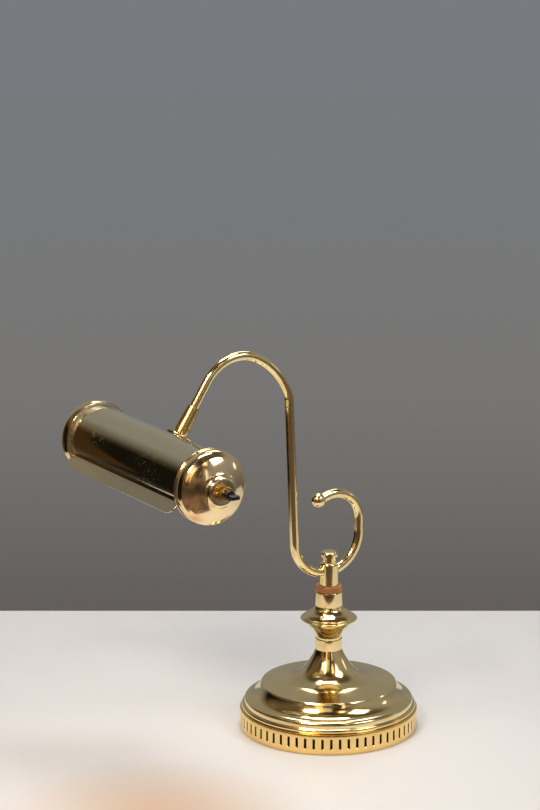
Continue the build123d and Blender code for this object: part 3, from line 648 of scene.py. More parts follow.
for index in range(SLOT_COUNT):
    mid_deg = SLOT_START_DEG + index * CELL_DEG
    hole = index == CORD_SLOT
    layers = (
        (cell_outline(GALLERY_HEIGHT - CREST_ROUND, FOOT_ROUND), 0.0),
        (slot_outline(SLOT_EDGE, hole), 0.0),
        (slot_outline(0.0, hole), SLOT_EDGE),
        (slot_outline(0.0, hole), GALLERY_WALL - SLOT_EDGE),
        (slot_outline(SLOT_EDGE, hole), GALLERY_WALL),
        (cell_outline(FLANGE_UNDER, FOOT_ROUND), GALLERY_WALL),
    )
    loops = []
    for outline, depth in layers:
        loops.append([on_ring(mid_deg, x, depth, z) for x, z in outline])
    for one, two in zip(loops, loops[1:]):
        band(gallery, one, two)
    for profile in (crest, foot):
        grid = [[on_ring(mid_deg, x, depth, z) for x in columns] for depth, z in profile]
        for one, two in zip(grid, grid[1:]):
            strip(gallery, one, two)
finish_piece(gallery, "gallery_ring", "base", gallery_brass, sharp_deg=34.0)

# Base shell: rolled bead, step, cove, riser, dished plateau and trumpet neck
SHELL_WALL = 1.2
SHELL_ROUND = 0.7
BEAD_RADIUS = 2.7
BEAD_SETBACK = 1.7
STEP_SETBACK = 4.6
STEP_HEIGHT = 8.1
PLATEAU_SETBACK = 21.9
PLATEAU_RISE = 26.1
NECK_RISE = 61.7
COLLAR_RADIUS = 13.5
OGEE_SHARES = (
    (0.023, 0.094),
    (0.104, 0.167),
    (0.283, 0.228),
    (0.468, 0.317),
    (0.630, 0.450),
    (0.769, 0.617),
    (0.879, 0.794),
    (0.948, 0.928),
)
FLARE_SHARES = ((0.741, 0.048), (0.475, 0.143), (0.268, 0.334), (0.128, 0.612), (0.046, 0.829))
neck = GALLERY_HEIGHT + NECK_RISE
step_corner = (BASE_RADIUS - STEP_SETBACK, GALLERY_HEIGHT + STEP_HEIGHT)
step_inside = step_corner[0] - SHELL_WALL
plateau_edge = (BASE_RADIUS - PLATEAU_SETBACK, GALLERY_HEIGHT + PLATEAU_RISE)
ogee = [step_corner] + between(step_corner, plateau_edge, OGEE_SHARES) + [plateau_edge]
flare = between((COLLAR_RADIUS, plateau_edge[1]), (plateau_edge[0], neck), FLARE_SHARES)
flare = [plateau_edge] + flare + [(COLLAR_RADIUS, neck)]
skin = curve_through(ogee, steps=6)[:-1] + curve_through(flare, steps=10)
lining = inset(skin, SHELL_WALL)[1:-1][::-1]
bead_centre = (BASE_RADIUS - BEAD_SETBACK - BEAD_RADIUS, GALLERY_HEIGHT + BEAD_RADIUS)
shell = [(step_inside, GALLERY_HEIGHT)] + arc(bead_centre, BEAD_RADIUS, -90, 90, steps=16)
shell += [(step_corner[0], bead_centre[1] + BEAD_RADIUS)] + skin
shell += [(COLLAR_RADIUS - SHELL_WALL, neck)] + lining + [(step_inside, step_corner[1])]
turned("base_shell", "base", soften(shell, SHELL_ROUND, steps=5), segments=224)

# Column: collar, lower knop with a rolled lip, bell, head and fibre washer
ROD_RADIUS = 4.8
ROD_PASSAGE = ROD_RADIUS + PASSING_GAP
COLLAR_HEIGHT = 11.4
COLLAR_ROUND = 0.35
cup_base = neck + COLLAR_HEIGHT
turned("neck_collar", "base", soften(sleeve(ROD_PASSAGE, COLLAR_RADIUS, neck, cup_base), COLLAR_ROUND))

STEM_RADIUS = 12.6
STEM_HEIGHT = 1.8
KNOP_RADIUS = 28.8
KNOP_HEIGHT = 22.0
KNOP_LIP_INSET = 1.8
KNOP_LIP_HEIGHT = 2.3
KNOP_ROUND = 0.4
CUP_SHARES = ((0.097, 0.190), (0.271, 0.430), (0.514, 0.637), (0.792, 0.832))
KNOP_LIP_SHARES = ((0.75, 0.2826), (1.0, 0.6087), (0.8333, 0.8696), (0.4444, 1.0))
knop_top = cup_base + KNOP_HEIGHT
stem_top = (STEM_RADIUS, cup_base + STEM_HEIGHT)
cup_edge = (KNOP_RADIUS - KNOP_LIP_INSET, knop_top - KNOP_LIP_HEIGHT)
cup = [stem_top] + between(stem_top, cup_edge, CUP_SHARES) + [cup_edge]
rolled_lip = [cup_edge] + between(cup_edge, (KNOP_RADIUS, knop_top), KNOP_LIP_SHARES)
knop = [(ROD_PASSAGE, cup_base), (STEM_RADIUS, cup_base)] + curve_through(cup, steps=8)[:-1]
knop += curve_through(rolled_lip, steps=4) + [(ROD_PASSAGE, knop_top)]
turned("knop_lower", "base", soften(knop, KNOP_ROUND))

RIDGE_RADIUS = 26.2
RIDGE_HEIGHT = 1.7
RIDGE_FILLET = 0.7
BELL_INSET = 1.0
BELL_HEIGHT = 12.5
BELL_ROUND = 0.3
BELL_CORNER_DEG = 40.0
BELL_SHARES = ((0.235, 0.222), (0.609, 0.491), (0.870, 0.750))
HEAD_RADIUS = 13.7
CHAMBER_RADIUS = 8.8
SPIGOT_WALL = 2.7
SPIGOT_DEPTH = 6.3
head_seat = knop_top + BELL_HEIGHT
spigot_radius = CHAMBER_RADIUS + SPIGOT_WALL
spigot_foot = head_seat - SPIGOT_DEPTH
ridge_top = knop_top + RIDGE_HEIGHT
ridge_centre = (RIDGE_RADIUS - RIDGE_FILLET, ridge_top - RIDGE_FILLET)
bell_foot = (RIDGE_RADIUS - BELL_INSET, ridge_top)
bell_top = (HEAD_RADIUS, head_seat)
bell = [bell_foot] + between(bell_foot, bell_top, BELL_SHARES) + [bell_top]
upper = [(ROD_RADIUS, knop_top), (RIDGE_RADIUS, knop_top), (RIDGE_RADIUS, ridge_centre[1])]
upper += arc(ridge_centre, RIDGE_FILLET, 0, 90, steps=5) + curve_through(bell, steps=8)
upper += [(spigot_radius, head_seat), (spigot_radius, spigot_foot), (ROD_RADIUS, spigot_foot)]
turned("knop_upper", "base", soften(upper, BELL_ROUND, corner_deg=BELL_CORNER_DEG))

HEAD_HEIGHT = 15.4
HEAD_FILLET = 1.0
PIVOT_RADIUS = 6.0
BEARING_LENGTH = 9.6
head_top = head_seat + HEAD_HEIGHT
bearing_foot = head_top - BEARING_LENGTH
head = [
    (PIVOT_RADIUS + RUNNING_GAP, bearing_foot),
    (CHAMBER_RADIUS, bearing_foot),
    (CHAMBER_RADIUS, spigot_foot),
    (spigot_radius, spigot_foot),
    (spigot_radius, head_seat),
    (HEAD_RADIUS, head_seat),
    (HEAD_RADIUS, head_top),
    (PIVOT_RADIUS + RUNNING_GAP, head_top),
]
turned("column_head", "base", soften(head, HEAD_FILLET, steps=6))

WASHER_RADIUS = 13.4
WASHER_BORE = 6.4
WASHER_SPACE = 6.3
WASHER_FILLET = 1.2
post_foot = head_top + WASHER_SPACE
washer = sleeve(WASHER_BORE, WASHER_RADIUS, head_top, post_foot - THRUST_GAP)
turned("friction_washer", "base", soften(washer, WASHER_FILLET, steps=6))

# Bent arm: two routes from the foot of the loop, to the shade in front and to the scroll's ball behind
ARM_RADIUS = 4.75
ARM_SIDES = 56
ARM_CROSS_HEIGHT = 13.65
LOOP_RADIUS = 38.8
LOOP_SETBACK = 3.1
POLE_LEAN_DEG = 2.4
POLE_LENGTH = 148.15
HOOK_REAR_RADIUS = 31.4
HOOK_REAR_DEG = 22.8
HOOK_BACK_RADIUS = 78.8
HOOK_BACK_DEG = 36.1
HOOK_FRONT_RADIUS = 44.6
HOOK_FRONT_DEG = 85.7
HOOK_RUN_LENGTH = 38.4
SCROLL_RADIUS = 29.7
SCROLL_RISE = 12.9
SCROLL_PAST_DEG = 15.2
SCROLL_TAIL_LENGTH = 11.8
BALL_RADIUS = 7.3
BALL_SOCKET_DEPTH = 3.6
BEND_STEP_DEG = 2.0
RUN_STEPS = 6
socket_floor = BALL_RADIUS - BALL_SOCKET_DEPTH


def walk(start, heading_deg, moves):
    """Points of a route in the arm's plane: runs and bends, a bend to the left is positive."""
    place = Vector(start)
    heading = math.radians(heading_deg)
    points = [place.copy()]
    headings = [heading]
    for length, bend_deg in moves:
        steps = max(2, int(abs(bend_deg) / BEND_STEP_DEG)) if bend_deg else RUN_STEPS
        for step in range(steps):
            turn = math.radians(bend_deg) / steps
            hop = 2 * length * math.sin(abs(turn) / 2) if bend_deg else length / steps
            direction = heading + turn / 2
            place = place + Vector((math.cos(direction), math.sin(direction))) * hop
            heading += turn
            points.append(place.copy())
            headings.append(heading)
    return points, headings


def in_arm_plane(point):
    return Vector((0.0, point[0], point[1]))


def arm_heading(heading):
    return Vector((0.0, math.cos(heading), math.sin(heading)))


loop_start = (-LOOP_SETBACK, post_foot + ARM_CROSS_HEIGHT)
front_moves = (
    (LOOP_RADIUS, POLE_LEAN_DEG - 90.0),
    (POLE_LENGTH, 0.0),
    (HOOK_REAR_RADIUS, HOOK_REAR_DEG),
    (HOOK_BACK_RADIUS, HOOK_BACK_DEG),
    (HOOK_FRONT_RADIUS, HOOK_FRONT_DEG),
    (HOOK_RUN_LENGTH, 0.0),
)
back_moves = (
    (LOOP_RADIUS, 90.0),
    (SCROLL_RISE, 0.0),
    (SCROLL_RADIUS, 90.0 + SCROLL_PAST_DEG),
    (SCROLL_TAIL_LENGTH - socket_floor, 0.0),
)
front_points, front_headings = walk(loop_start, 180.0, front_moves)
back_points, back_headings = walk(loop_start, 0.0, back_moves)
route = back_points[::-1] + front_points[1:]
turns = [heading + math.pi for heading in back_headings[::-1]] + front_headings[1:]
tube = bmesh.new()
rings = []
for place, heading in zip(route, turns):
    out = arm_heading(heading + math.pi / 2)
    ring = []
    for step in range(ARM_SIDES):
        angle = 2 * math.pi * step / ARM_SIDES
        spoke = Vector((1.0, 0.0, 0.0)) * math.cos(angle) + out * math.sin(angle)
        ring.append(tube.verts.new(in_arm_plane(place) + spoke * ARM_RADIUS))
    rings.append(ring)
for one, two in zip(rings, rings[1:]):
    band(tube, one, two)
tube.faces.new(rings[0])
tube.faces.new(rings[-1])
finish_piece(tube, "arm_tube", "arm", sharp_deg=40.0)

BALL_MOUTH_DEG = -59.5
tail = arm_heading(back_headings[-1])
ball_centre = in_arm_plane(back_points[-1]) + tail * socket_floor
ball = [(0.0, -socket_floor), (ARM_RADIUS, -socket_floor)]
ball += arc((0.0, 0.0), BALL_RADIUS, BALL_MOUTH_DEG, 90.0, steps=28)
turned("ball_end", "arm", ball, axis_place(ball_centre, tail), segments=96)

# Ferrule with two shallow grooves, and the swivel under it
FERRULE_LENGTH = 26.0
FERRULE_GRIP_LENGTH = 10.0
FERRULE_FOOT_RADIUS = 7.5
FERRULE_GRIP_RADIUS = 6.3
FERRULE_GROOVES = ((7.36, 3.0), (7.24, 3.3), (7.22, 5.0), (6.62, 18.2), (6.55, 18.6))
FERRULE_ROUND = 0.5
NIPPLE_RADIUS = 4.0
SWIVEL_NUT_RADIUS = 7.2
SWIVEL_NUT_HEIGHT = 3.9
SWIVEL_NUT_ROUND = 0.4
NUT_FOOT_INSET = 0.9
NUT_FOOT_HEIGHT = 1.9
SWIVEL_PLATE_RADIUS = 14.2
SWIVEL_PLATE_THICKNESS = 1.3
SWIVEL_PLATE_ROUND = 0.45
arm_end = in_arm_plane(front_points[-1])
arm_out = arm_heading(front_headings[-1])
ferrule_reach = FERRULE_LENGTH - FERRULE_GRIP_LENGTH
swivel = axis_place(arm_end + arm_out * ferrule_reach, -arm_out)
ferrule = [(NIPPLE_RADIUS + RUNNING_GAP, 0.0), (FERRULE_FOOT_RADIUS, 0.0)] + list(FERRULE_GROOVES)
ferrule += [(FERRULE_GRIP_RADIUS, FERRULE_LENGTH), (ARM_RADIUS + RUNNING_GAP, FERRULE_LENGTH)]
ferrule += [(ARM_RADIUS + RUNNING_GAP, ferrule_reach), (NIPPLE_RADIUS + RUNNING_GAP, ferrule_reach)]
turned("ferrule", "arm", soften(ferrule, FERRULE_ROUND), swivel, segments=96)

nut_top = -THRUST_GAP
plate_top = nut_top - SWIVEL_NUT_HEIGHT
nut_step = plate_top + NUT_FOOT_HEIGHT
swivel_nut = [
    (NIPPLE_RADIUS, plate_top),
    (SWIVEL_NUT_RADIUS - NUT_FOOT_INSET, plate_top),
    (SWIVEL_NUT_RADIUS - NUT_FOOT_INSET, nut_step),
    (SWIVEL_NUT_RADIUS, nut_step),
    (SWIVEL_NUT_RADIUS, nut_top),
    (NIPPLE_RADIUS, nut_top),
]
turned("swivel_nut", "shade", soften(swivel_nut, SWIVEL_NUT_ROUND), swivel, segments=96)
swivel_plate = sleeve(NIPPLE_RADIUS, SWIVEL_PLATE_RADIUS, plate_top - SWIVEL_PLATE_THICKNESS, plate_top)
turned("swivel_plate", "shade", soften(swivel_plate, SWIVEL_PLATE_ROUND), swivel, segments=96)

# Lengths along the hood, counted from its middle; the switch key turns on the hood's axis
SHADE_LENGTH = 254.0
SHEET_RADIUS = 32.5
SKIRT_REACH = 2.5
SKIRT_WIDTH = 12.8
CAP_WALL = 0.9
SHOULDER_RADIUS = 2.5
DOME_DEPTH = 15.0
BOSS_RADIUS = 15.5
BOSS_HEIGHT = 5.0
RIM_GAP = 0.2
joints = {row["name"]: row for row in frame["record"]["behaviour"]["joints"]}
key_place = Vector(joints["key_turn"]["pos_m"]) / MM
shade_centre = Vector((0.0, key_place.y, key_place.z))
along_hood = axis_place(shade_centre, (1, 0, 0), (0, 1, 0))
skirt_bore = SHEET_RADIUS + SKIRT_REACH
shoulder_height = skirt_bore + CAP_WALL - SHOULDER_RADIUS
dome_span = DOME_DEPTH ** 2 + shoulder_height ** 2 - SHOULDER_RADIUS ** 2
dome_radius = dome_span / (2 * (DOME_DEPTH - SHOULDER_RADIUS))
boss_rise = DOME_DEPTH - dome_radius + math.sqrt(dome_radius ** 2 - BOSS_RADIUS ** 2)
skirt_end = SHADE_LENGTH / 2 - boss_rise
boss_top = SHADE_LENGTH / 2 + BOSS_HEIGHT
rim_start = skirt_end - SKIRT_WIDTH
half_sheet = rim_start - RIM_GAP
dome_centre = skirt_end + DOME_DEPTH - dome_radius

# Hood sheet: rolled from the back edge over the top to the flared front lip with rounded corners
SHEET_WALL = 0.8
SHEET_BACK_DEG = 30.0
SHEET_FRONT_DEG = 20.0
SHEET_STEPS = 92
SHEET_COLUMNS = 24
CREASE_RADIUS = 1.6
CREASE_STEPS = 8
LIP_FALL_DEG = 44.0
LIP_WIDTH = 13.6
LIP_CORNER = 9.0
LIP_STEPS = 12
EDGE_WIDTH = 0.25
EDGE_DEG = 50.0
roll_deg = 180.0 + SHEET_BACK_DEG + SHEET_FRONT_DEG
crease_turn = math.radians(LIP_FALL_DEG - SHEET_FRONT_DEG - 90.0) / CREASE_STEPS
section = []
for step in range(SHEET_STEPS + 1):
    angle = math.radians(roll_deg * step / SHEET_STEPS - SHEET_BACK_DEG)
    at = Vector((math.cos(angle), math.sin(angle))) * SHEET_RADIUS
    section.append((at, angle + math.pi / 2, half_sheet))
heading = section[-1][1]
for step in range(CREASE_STEPS):
    hop = 2 * CREASE_RADIUS * math.sin(-crease_turn / 2)
    direction = heading + crease_turn / 2
    at = at + Vector((math.cos(direction), math.sin(direction))) * hop
    heading += crease_turn
    section.append((at, heading, half_sheet))
for step in range(LIP_STEPS + 1):
    bend = math.radians(90.0 * step / LIP_STEPS)
    reach = LIP_WIDTH - LIP_CORNER + LIP_CORNER * math.sin(bend)
    spot = at + Vector((math.cos(heading), math.sin(heading))) * reach
    section.append((spot, heading, half_sheet - LIP_CORNER * (1 - math.cos(bend))))
sheet = bmesh.new()
skins = []
for depth in (0.0, SHEET_WALL):
    grid = []
    for spot, heading, half in section:
        y, z = spot + Vector((-math.sin(heading), math.cos(heading))) * depth
        line = []
        for step in range(SHEET_COLUMNS + 1):
            across = half * (2 * step / SHEET_COLUMNS - 1)
            line.append(sheet.verts.new(shade_centre + Vector((across, y, z))))
        grid.append(line)
    skins.append(grid)
    for one, two in zip(grid, grid[1:]):
        strip(sheet, one, two)
outer, inner = skins
for end in (0, -1):
    strip(sheet, [line[end] for line in outer], [line[end] for line in inner])
    strip(sheet, outer[end], inner[end])
hood = finish_piece(sheet, "shade_sheet", "shade", hood_brass, sharp_deg=34.0)
edge = hood.modifiers.new("edge", "BEVEL")
edge.width = EDGE_WIDTH * MM
edge.segments = 2
edge.limit_method = "ANGLE"
edge.angle_limit = math.radians(EDGE_DEG)

# End caps: rolled rim, bulged skirt, dome and rounded boss
RIM_WIDTH = 1.6
RIM_THICKNESS = 1.4
RIM_TURN_IN = 1.0
RIM_STEP = 0.1
CAP_ROUND = 0.6
CAP_CORNER_DEG = 30.0
DOME_START_DEG = 36.0
BOSS_FOOT_RADIUS = 19.0
# Radius and distance past the rim's start
SKIRT_BULGE = (
    (34.9, 2.0),
    (35.5, 3.5),
    (36.1, 5.9),
    (36.35, 8.5),
    (36.2, 10.9),
    (35.3, 13.4),
    (33.2, 15.7),
)
# Radius and distance past the boss's top
BOSS_ROUNDING = ((17.0, -5.0), (15.7, -3.6), (15.0, -2.0), (14.1, -0.7), (12.6, 0.0), (9.0, -0.2))
BOSS_DISH = 0.3
SCREW_PASSAGE = 2.2
SWITCH_BUSHING_RADIUS = 4.9


def end_cap(node, side, hole, material):
    foot_deg = math.degrees(math.asin(BOSS_FOOT_RADIUS / dome_radius))
    dome = [(r, x) for x, r in arc((dome_centre, 0.0), dome_radius, DOME_START_DEG, foot_deg, steps=28)]
    skirt = [(r, rim_start + x) for r, x in SKIRT_BULGE]
    boss = [(r, boss_top + x) for r, x in BOSS_ROUNDING]
    outside = curve_through(skirt + dome[:1], steps=5)[:-1] + dome
    outside += curve_through(dome[-1:] + boss, steps=5)[1:] + [(hole, boss_top - BOSS_DISH)]
    rim_end = rim_start + RIM_WIDTH
    rim = [(skirt_bore - RIM_TURN_IN, rim_start), (skirt_bore + RIM_THICKNESS, rim_start)]
    rim += [(skirt_bore + RIM_THICKNESS, rim_end), (skirt_bore, rim_end + RIM_STEP)]
    outline = rim + outside + inset(outside, CAP_WALL)[::-1]
    outline = soften(outline, CAP_ROUND, steps=5, corner_deg=CAP_CORNER_DEG)
    place = axis_place(shade_centre, (side, 0, 0), (0, 1, 0))
    turned(node, "shade", outline, place, segments=192, material=material)


end_cap("switch_cap", 1, SWITCH_BUSHING_RADIUS, cap_brass)
end_cap("plain_cap", -1, SCREW_PASSAGE, polished)

PLATE_THICKNESS = 1.2
PLATE_ROUND = 0.3
HOLDER_NIPPLE_RADIUS = 4.8
for node, hole, start in (
    ("switch_plate", HOLDER_NIPPLE_RADIUS + PASSING_GAP, half_sheet),
    ("plain_plate", SCREW_PASSAGE, -half_sheet - PLATE_THICKNESS),
):
    disc = sleeve(hole, skirt_bore, start, start + PLATE_THICKNESS)
    turned(node, "shade", soften(disc, PLATE_ROUND), along_hood, segments=160)

# Switch: knurled nut on a threaded bushing
SWITCH_NUT_RADIUS = 6.8
SWITCH_NUT_HEIGHT = 6.0
SWITCH_NUT_ROUND = 0.5
KNURL_RIDGES = 36
KNURL_DEPTH = 0.35
KNURL_FROM = 6.4
BUSHING_BORE = 3.05
BUSHING_LENGTH = 7.2
BUSHING_PITCH = 0.8
BUSHING_THREAD = 0.3
BUSHING_ROWS = 60
THREAD_TOLERANCE = 0.01


def knurl(angle, radius, height):
    """Ripple that cuts straight ridges into the outside of a turned piece."""
    ridge = abs((angle * KNURL_RIDGES / (2 * math.pi)) % 1.0 - 0.5) * 2
    return (radius - KNURL_DEPTH * ridge if radius > KNURL_FROM else radius), height


def thread(pitch, depth, top, start, end):
    """Ripple that cuts a screw thread into the outside of a turned piece."""

    def cut(angle, radius, height):
        if radius < top - THREAD_TOLERANCE or not start < height < end:
            return radius, height
        fade = min(1.0, (height - start) / pitch, (end - height) / pitch)
        groove = 0.5 - 0.5 * math.cos(2 * math.pi * (height / pitch - angle / (2 * math.pi)))
        return radius - depth * groove * fade, height

    return cut


def straight(radius, start, end, rows):
    """A run of even steps at one radius."""
    return [(radius, start + (end - start) * step / rows) for step in range(rows + 1)]


nut_bore = SWITCH_BUSHING_RADIUS + RUNNING_GAP
switch_nut = sleeve(nut_bore, SWITCH_NUT_RADIUS, boss_top, boss_top + SWITCH_NUT_HEIGHT)
turned("switch_nut", "shade", soften(switch_nut, SWITCH_NUT_ROUND), along_hood, segments=216, ripple=knurl)
bushing_start = boss_top - CAP_WALL
bushing_end = boss_top + BUSHING_LENGTH
bushing = [(BUSHING_BORE, bushing_start)]
bushing += straight(SWITCH_BUSHING_RADIUS, bushing_start, bushing_end, BUSHING_ROWS)
bushing += [(BUSHING_BORE, bushing_end)]
bushing_thread = thread(BUSHING_PITCH, BUSHING_THREAD, SWITCH_BUSHING_RADIUS, boss_top, bushing_end)
turned("switch_bushing", "shade", bushing, along_hood, segments=72, ripple=bushing_thread)

# Lamp: holder, screw cap with its thread, frosted glass
HOLDER_RADIUS = 17.0
HOLDER_BORE = 13.6
HOLDER_FLOOR = 4.0
HOLDER_LEAD = 6.0
HOLDER_ROUND = 1.0
NIPPLE_GRIP = 3.0
LAMP_CAP_RADIUS = 13.2
LAMP_CAP_WALL = 0.6
LAMP_CAP_LENGTH = 27.0
LAMP_CAP_FLOOR = 2.0
LAMP_CAP_ROWS = 90
LAMP_CAP_PITCH = 3.6
LAMP_CAP_THREAD = 0.75
THREAD_FOOT_GAP = 1.7
THREAD_TOP_GAP = 0.8
CONTACT_RADIUS = 3.5
CONTACT_HEIGHT = 4.0
GLASS_RADIUS = 15.8
GLASS_WALL = 0.9
GLASS_NECK_GRIP = 4.0
GLASS_NECK_GAP = 2.0
GLASS_CONE_LENGTH = 8.0
GLASS_CONE_BULGE = 1.6
LAMP_TIP_GAP = 26.2
holder_seat = half_sheet - HOLDER_FLOOR
cap_top = holder_seat - CONTACT_HEIGHT
cap_foot = cap_top - LAMP_CAP_LENGTH
holder_mouth = cap_foot - HOLDER_LEAD
holder = [
    (0.0, half_sheet - NIPPLE_GRIP),
    (HOLDER_NIPPLE_RADIUS, half_sheet - NIPPLE_GRIP),
    (HOLDER_NIPPLE_RADIUS, half_sheet),
    (HOLDER_RADIUS, half_sheet),
    (HOLDER_RADIUS, holder_mouth),
    (HOLDER_BORE, holder_mouth),
    (HOLDER_BORE, holder_seat),
    (0.0, holder_seat),
]
turned("lamp_holder", "shade", soften(holder, HOLDER_ROUND, steps=5), along_hood, segments=96)

cap_bore = LAMP_CAP_RADIUS - LAMP_CAP_WALL
lamp_cap = [(0.0, holder_seat), (CONTACT_RADIUS, holder_seat), (CONTACT_RADIUS, cap_top)]
lamp_cap += straight(LAMP_CAP_RADIUS, cap_top, cap_foot, LAMP_CAP_ROWS)
lamp_cap += [(cap_bore, cap_foot), (cap_bore, cap_top - LAMP_CAP_FLOOR), (0.0, cap_top - LAMP_CAP_FLOOR)]
cap_thread = thread(
    LAMP_CAP_PITCH,
    LAMP_CAP_THREAD,
    LAMP_CAP_RADIUS,
    cap_foot + THREAD_FOOT_GAP,
    cap_top - THREAD_TOP_GAP,
)
turned("lamp_cap", "shade", lamp_cap, along_hood, segments=96, ripple=cap_thread)


def glass_row(wall):
    """One side of the glass, from the neck in the lamp cap to the round tip."""
    neck_radius = cap_bore - wall
    body_radius = GLASS_RADIUS - wall
    cone_start = holder_mouth - GLASS_NECK_GAP
    cone_mid = (neck_radius + GLASS_CONE_BULGE, cone_start - GLASS_CONE_LENGTH / 2)
    cone = [(neck_radius, cone_start), cone_mid, (body_radius, cone_start - GLASS_CONE_LENGTH)]
    tip_centre = LAMP_TIP_GAP - half_sheet + GLASS_RADIUS
    tip = [(max(r, 0.0), x) for x, r in arc((tip_centre, 0.0), body_radius, 90.0, 180.0, steps=20)]
    return [(neck_radius, cap_foot + GLASS_NECK_GRIP)] + curve_through(cone, steps=8) + tip


turned("lamp_glass", "shade", glass_row(0.0) + glass_row(GLASS_WALL)[::-1], along_hood, segments=96)

# Stage, in metres: a whitish table top, with a painted pool of light on its near left and a painted warm
# glow at its near edge
TABLE_NEAR = -0.385
TABLE_FAR = 0.372
TABLE_LEFT = -0.64
TABLE_RIGHT = 0.90
TABLE_DROP = 0.0002
# Painted pool of light: the table's colour is made brighter round this spot on the near left, where light
# falls
PAINTED_LIGHT_SPOT = forward * -0.22 + aside * -0.14
PAINTED_LIGHT_INSIDE = 0.14
PAINTED_LIGHT_OUTSIDE = 0.50
# Painted warm glow: a peach patch of light painted into the table's colour at its near edge
PAINTED_GLOW_SPOT = forward * -0.25 + aside * -0.17
PAINTED_GLOW_OUTSIDE = 0.15
TABLE_PALE = (0.76, 0.76, 0.77)
TABLE_VEINED = (0.71, 0.71, 0.72)
TABLE_PAINTED_LIGHT = (0.87, 0.85, 0.83)
TABLE_PAINTED_GLOW = (0.88, 0.61, 0.41)
VEIN_SCALE = 3.0
VEIN_EDGE = (0.42, 0.62)
SHEEN_SCALE = 60.0
SHEEN_EDGE = (0.3, 0.7)
SHEEN_ROUGHNESS = (0.36, 0.48)
SLAB_GRAIN_SCALE = 90.0
SLAB_GRAIN_STRENGTH = 0.03
SLAB_GRAIN_DEPTH = 0.00005
table_mesh = bpy.data.meshes.new("table_top")
table = bpy.data.objects.new("table_top", table_mesh)
scene.collection.objects.link(table)
slab = bmesh.new()
corners = []
for along, across in (
    (TABLE_FAR, TABLE_LEFT),
    (TABLE_NEAR, TABLE_LEFT),
    (TABLE_NEAR, TABLE_RIGHT),
    (TABLE_FAR, TABLE_RIGHT),
):
    corners.append(slab.verts.new(forward * along + aside * across - upward * TABLE_DROP))
slab.faces.new(corners)
slab.normal_update()
slab.to_mesh(table_mesh)
slab.free()
made = Nodes(bpy.data.materials.new("table_top"))
shader = made.tree.nodes["Principled BSDF"]
veins = made.noise(VEIN_SCALE, detail=4.0, rough=0.55, distortion=0.6)
table_tone_and_painted_light = made.mix(made.ramp(veins, *VEIN_EDGE), opaque(TABLE_PALE), opaque(TABLE_VEINED))
# Painted pool of light mixed into the table's colour
table_tone_and_painted_light = made.mix(made.near(PAINTED_LIGHT_SPOT, PAINTED_LIGHT_INSIDE, PAINTED_LIGHT_OUTSIDE), table_tone_and_painted_light, opaque(TABLE_PAINTED_LIGHT))
# Painted warm glow mixed into the table's colour
table_tone_and_painted_light = made.mix(made.near(PAINTED_GLOW_SPOT, 0.0, PAINTED_GLOW_OUTSIDE), table_tone_and_painted_light, opaque(TABLE_PAINTED_GLOW))
made.put(shader.inputs["Base Color"], table_tone_and_painted_light)
smooth, dull = SHEEN_ROUGHNESS
sheen = made.ramp(made.noise(SHEEN_SCALE, detail=3.0), *SHEEN_EDGE, start=smooth, end=dull)
made.put(shader.inputs["Roughness"], sheen)
slab_grain = made.noise(SLAB_GRAIN_SCALE, detail=3.0)
made.put(shader.inputs["Normal"], made.bump(slab_grain, SLAB_GRAIN_STRENGTH, SLAB_GRAIN_DEPTH))
table_mesh.materials.append(made.owner)

# World: a grey backdrop beyond the lamp, a wall on the right, a dim room behind the camera, gloom between
LEAST_LEVEL = 0.05
ROOM_PATCH_SCALE = 3.4
ROOM_PATCHES = (0.42, 0.60)
ROOM_AHEAD = (-0.30, -0.75)
WALL_RIGHT = (0.25, 0.6)
WALL_AHEAD = (-0.92, -0.65)
BACKDROP_AHEAD = (0.50, 0.76)
world = bpy.data.worlds.new("studio")
scene.world = world
sky = Nodes(world)
direction = sky.where.outputs["Generated"]
rise = sky.dot(direction, upward)
level = sky.math("SQRT", sky.math("SUBTRACT", 1.0, sky.math("MULTIPLY", rise, rise)))
level = sky.math("MAXIMUM", level, LEAST_LEVEL)
ahead = sky.math("DIVIDE", sky.dot(direction, forward), level)
right = sky.math("DIVIDE", sky.dot(direction, aside), level)


def by_height(*tones):
    """Colours by how far up a direction points, from -1 straight down to 1 straight up."""
    node = sky.add("ShaderNodeValToRGB")
    sky.put(node.inputs["Fac"], sky.ramp(rise, -1.0, 1.0))
    stops = node.color_ramp.elements
    while len(stops) < len(tones):
        stops.new(0.5)
    for stop, (height, colour) in zip(stops, tones):
        stop.position = (height + 1.0) / 2
        stop.color = opaque(colour)
    return node.outputs["Color"]


backdrop = by_height(
    (-0.311, (0.122, 0.110, 0.103)),
    (-0.254, (0.184, 0.178, 0.171)),
    (-0.137, (0.186, 0.200, 0.218)),
    (0.260, (0.285, 0.280, 0.275)),
    (0.700, (0.250, 0.245, 0.240)),
)
wall = by_height(
    (-0.30, (0.10, 0.09, 0.09)),
    (0.00, (0.20, 0.19, 0.20)),
    (0.35, (0.30, 0.29, 0.31)),
    (0.55, (0.30, 0.28, 0.27)),
    (0.75, (0.08, 0.06, 0.04)),
)
room_dark = by_height(
    (-0.50, (0.14, 0.09, 0.06)),
    (-0.20, (0.05, 0.035, 0.025)),
    (0.15, (0.03, 0.02, 0.012)),
    (0.75, (0.025, 0.016, 0.01)),
)
room_lit = by_height(
    (-0.50, (0.26, 0.17, 0.11)),
    (-0.20, (0.09, 0.065, 0.05)),
    (0.15, (0.14, 0.10, 0.07)),
    (0.40, (0.42, 0.30, 0.19)),
    (0.75, (0.26, 0.17, 0.09)),
)
gloom = by_height(
    (0.25, (0.008, 0.006, 0.004)),
    (0.55, (0.13, 0.10, 0.07)),
    (0.85, (0.07, 0.05, 0.03)),
)
lit_share = sky.ramp(sky.noise(ROOM_PATCH_SCALE, vector=direction), *ROOM_PATCHES)
room = sky.mix(lit_share, room_dark, room_lit)
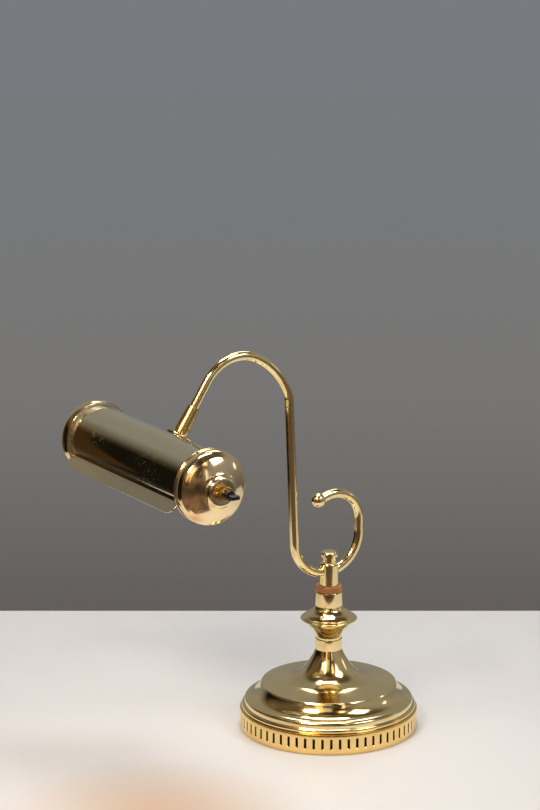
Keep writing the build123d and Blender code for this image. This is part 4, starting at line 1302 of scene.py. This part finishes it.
around = sky.mix(sky.ramp(ahead, *ROOM_AHEAD), gloom, room)
wall_share = sky.math("MULTIPLY", sky.ramp(right, *WALL_RIGHT), sky.ramp(ahead, *WALL_AHEAD))
around = sky.mix(wall_share, around, wall)
around = sky.mix(sky.ramp(ahead, *BACKDROP_AHEAD), around, backdrop)
background = sky.tree.nodes["Background"]
sky.put(background.inputs["Color"], around)
background.inputs["Strength"].default_value = 1.0

# Soft lamps, in metres and watts
LAMP_MIDDLE = Vector((0.0, -0.08, 0.2))
HOOD_LEFT = Vector((-0.070, -0.236, 0.326))
WHITE = (1.0, 0.99, 0.98)


def panel(name, turn_deg, rise_deg, reach, size, power, colour, middle=LAMP_MIDDLE, roll_deg=0.0):
    """A soft lamp that faces the middle given, turned right from straight ahead, raised and rolled."""
    turn = math.radians(turn_deg)
    lift = math.radians(rise_deg)
    out = (forward * math.cos(turn) + aside * math.sin(turn)) * math.cos(lift) + upward * math.sin(lift)
    data = bpy.data.lights.new(name, "AREA")
    data.shape = "RECTANGLE"
    data.size = size[0]
    data.size_y = size[1]
    data.energy = power
    data.color = colour
    lamp = bpy.data.objects.new(name, data)
    lamp.location = middle + out * reach
    roll = Quaternion(upward, math.radians(roll_deg))
    lamp.rotation_euler = ((-out).to_track_quat("-Z", "Y") @ roll).to_euler()
    scene.collection.objects.link(lamp)


# Each lamp: name, turn and rise in degrees, reach, width and height, power, colour
panel("overhead", 0.0, 82.0, 1.6, (0.9, 0.42), 14.0, WHITE)
panel("left_key", -148.0, 45.0, 1.7, (0.5, 0.35), 12.5, (1.0, 0.92, 0.83))
panel("right_lamp", 115.0, 46.0, 1.7, (0.7, 0.45), 6.5, WHITE)
panel("back_strip", 5.0, 43.0, 1.6, (0.7, 0.26), 2.6, WHITE)
panel("warm_lamp", 151.0, 45.0, 1.7, (0.24, 0.24), 0.35, (1.0, 0.76, 0.42))
panel("low_right", 76.0, 17.0, 1.7, (0.16, 0.2), 0.2, (1.0, 0.95, 0.9))
panel("pale_panel", 180.0, 40.0, 1.9, (0.4, 0.45), 0.3, (1.0, 0.98, 0.96))
panel("orange_strip", -165.0, 32.0, 1.7, (0.34, 1.0), 1.3, (1.0, 0.62, 0.26))
panel("brown_card", -51.3, -2.4, 0.265, (0.15, 0.27), 0.005, (1.0, 0.48, 0.13), HOOD_LEFT, 15.0)
panel("white_strip", 152.0, 22.0, 1.7, (0.09, 0.6), 0.3, (1.0, 0.95, 0.88))
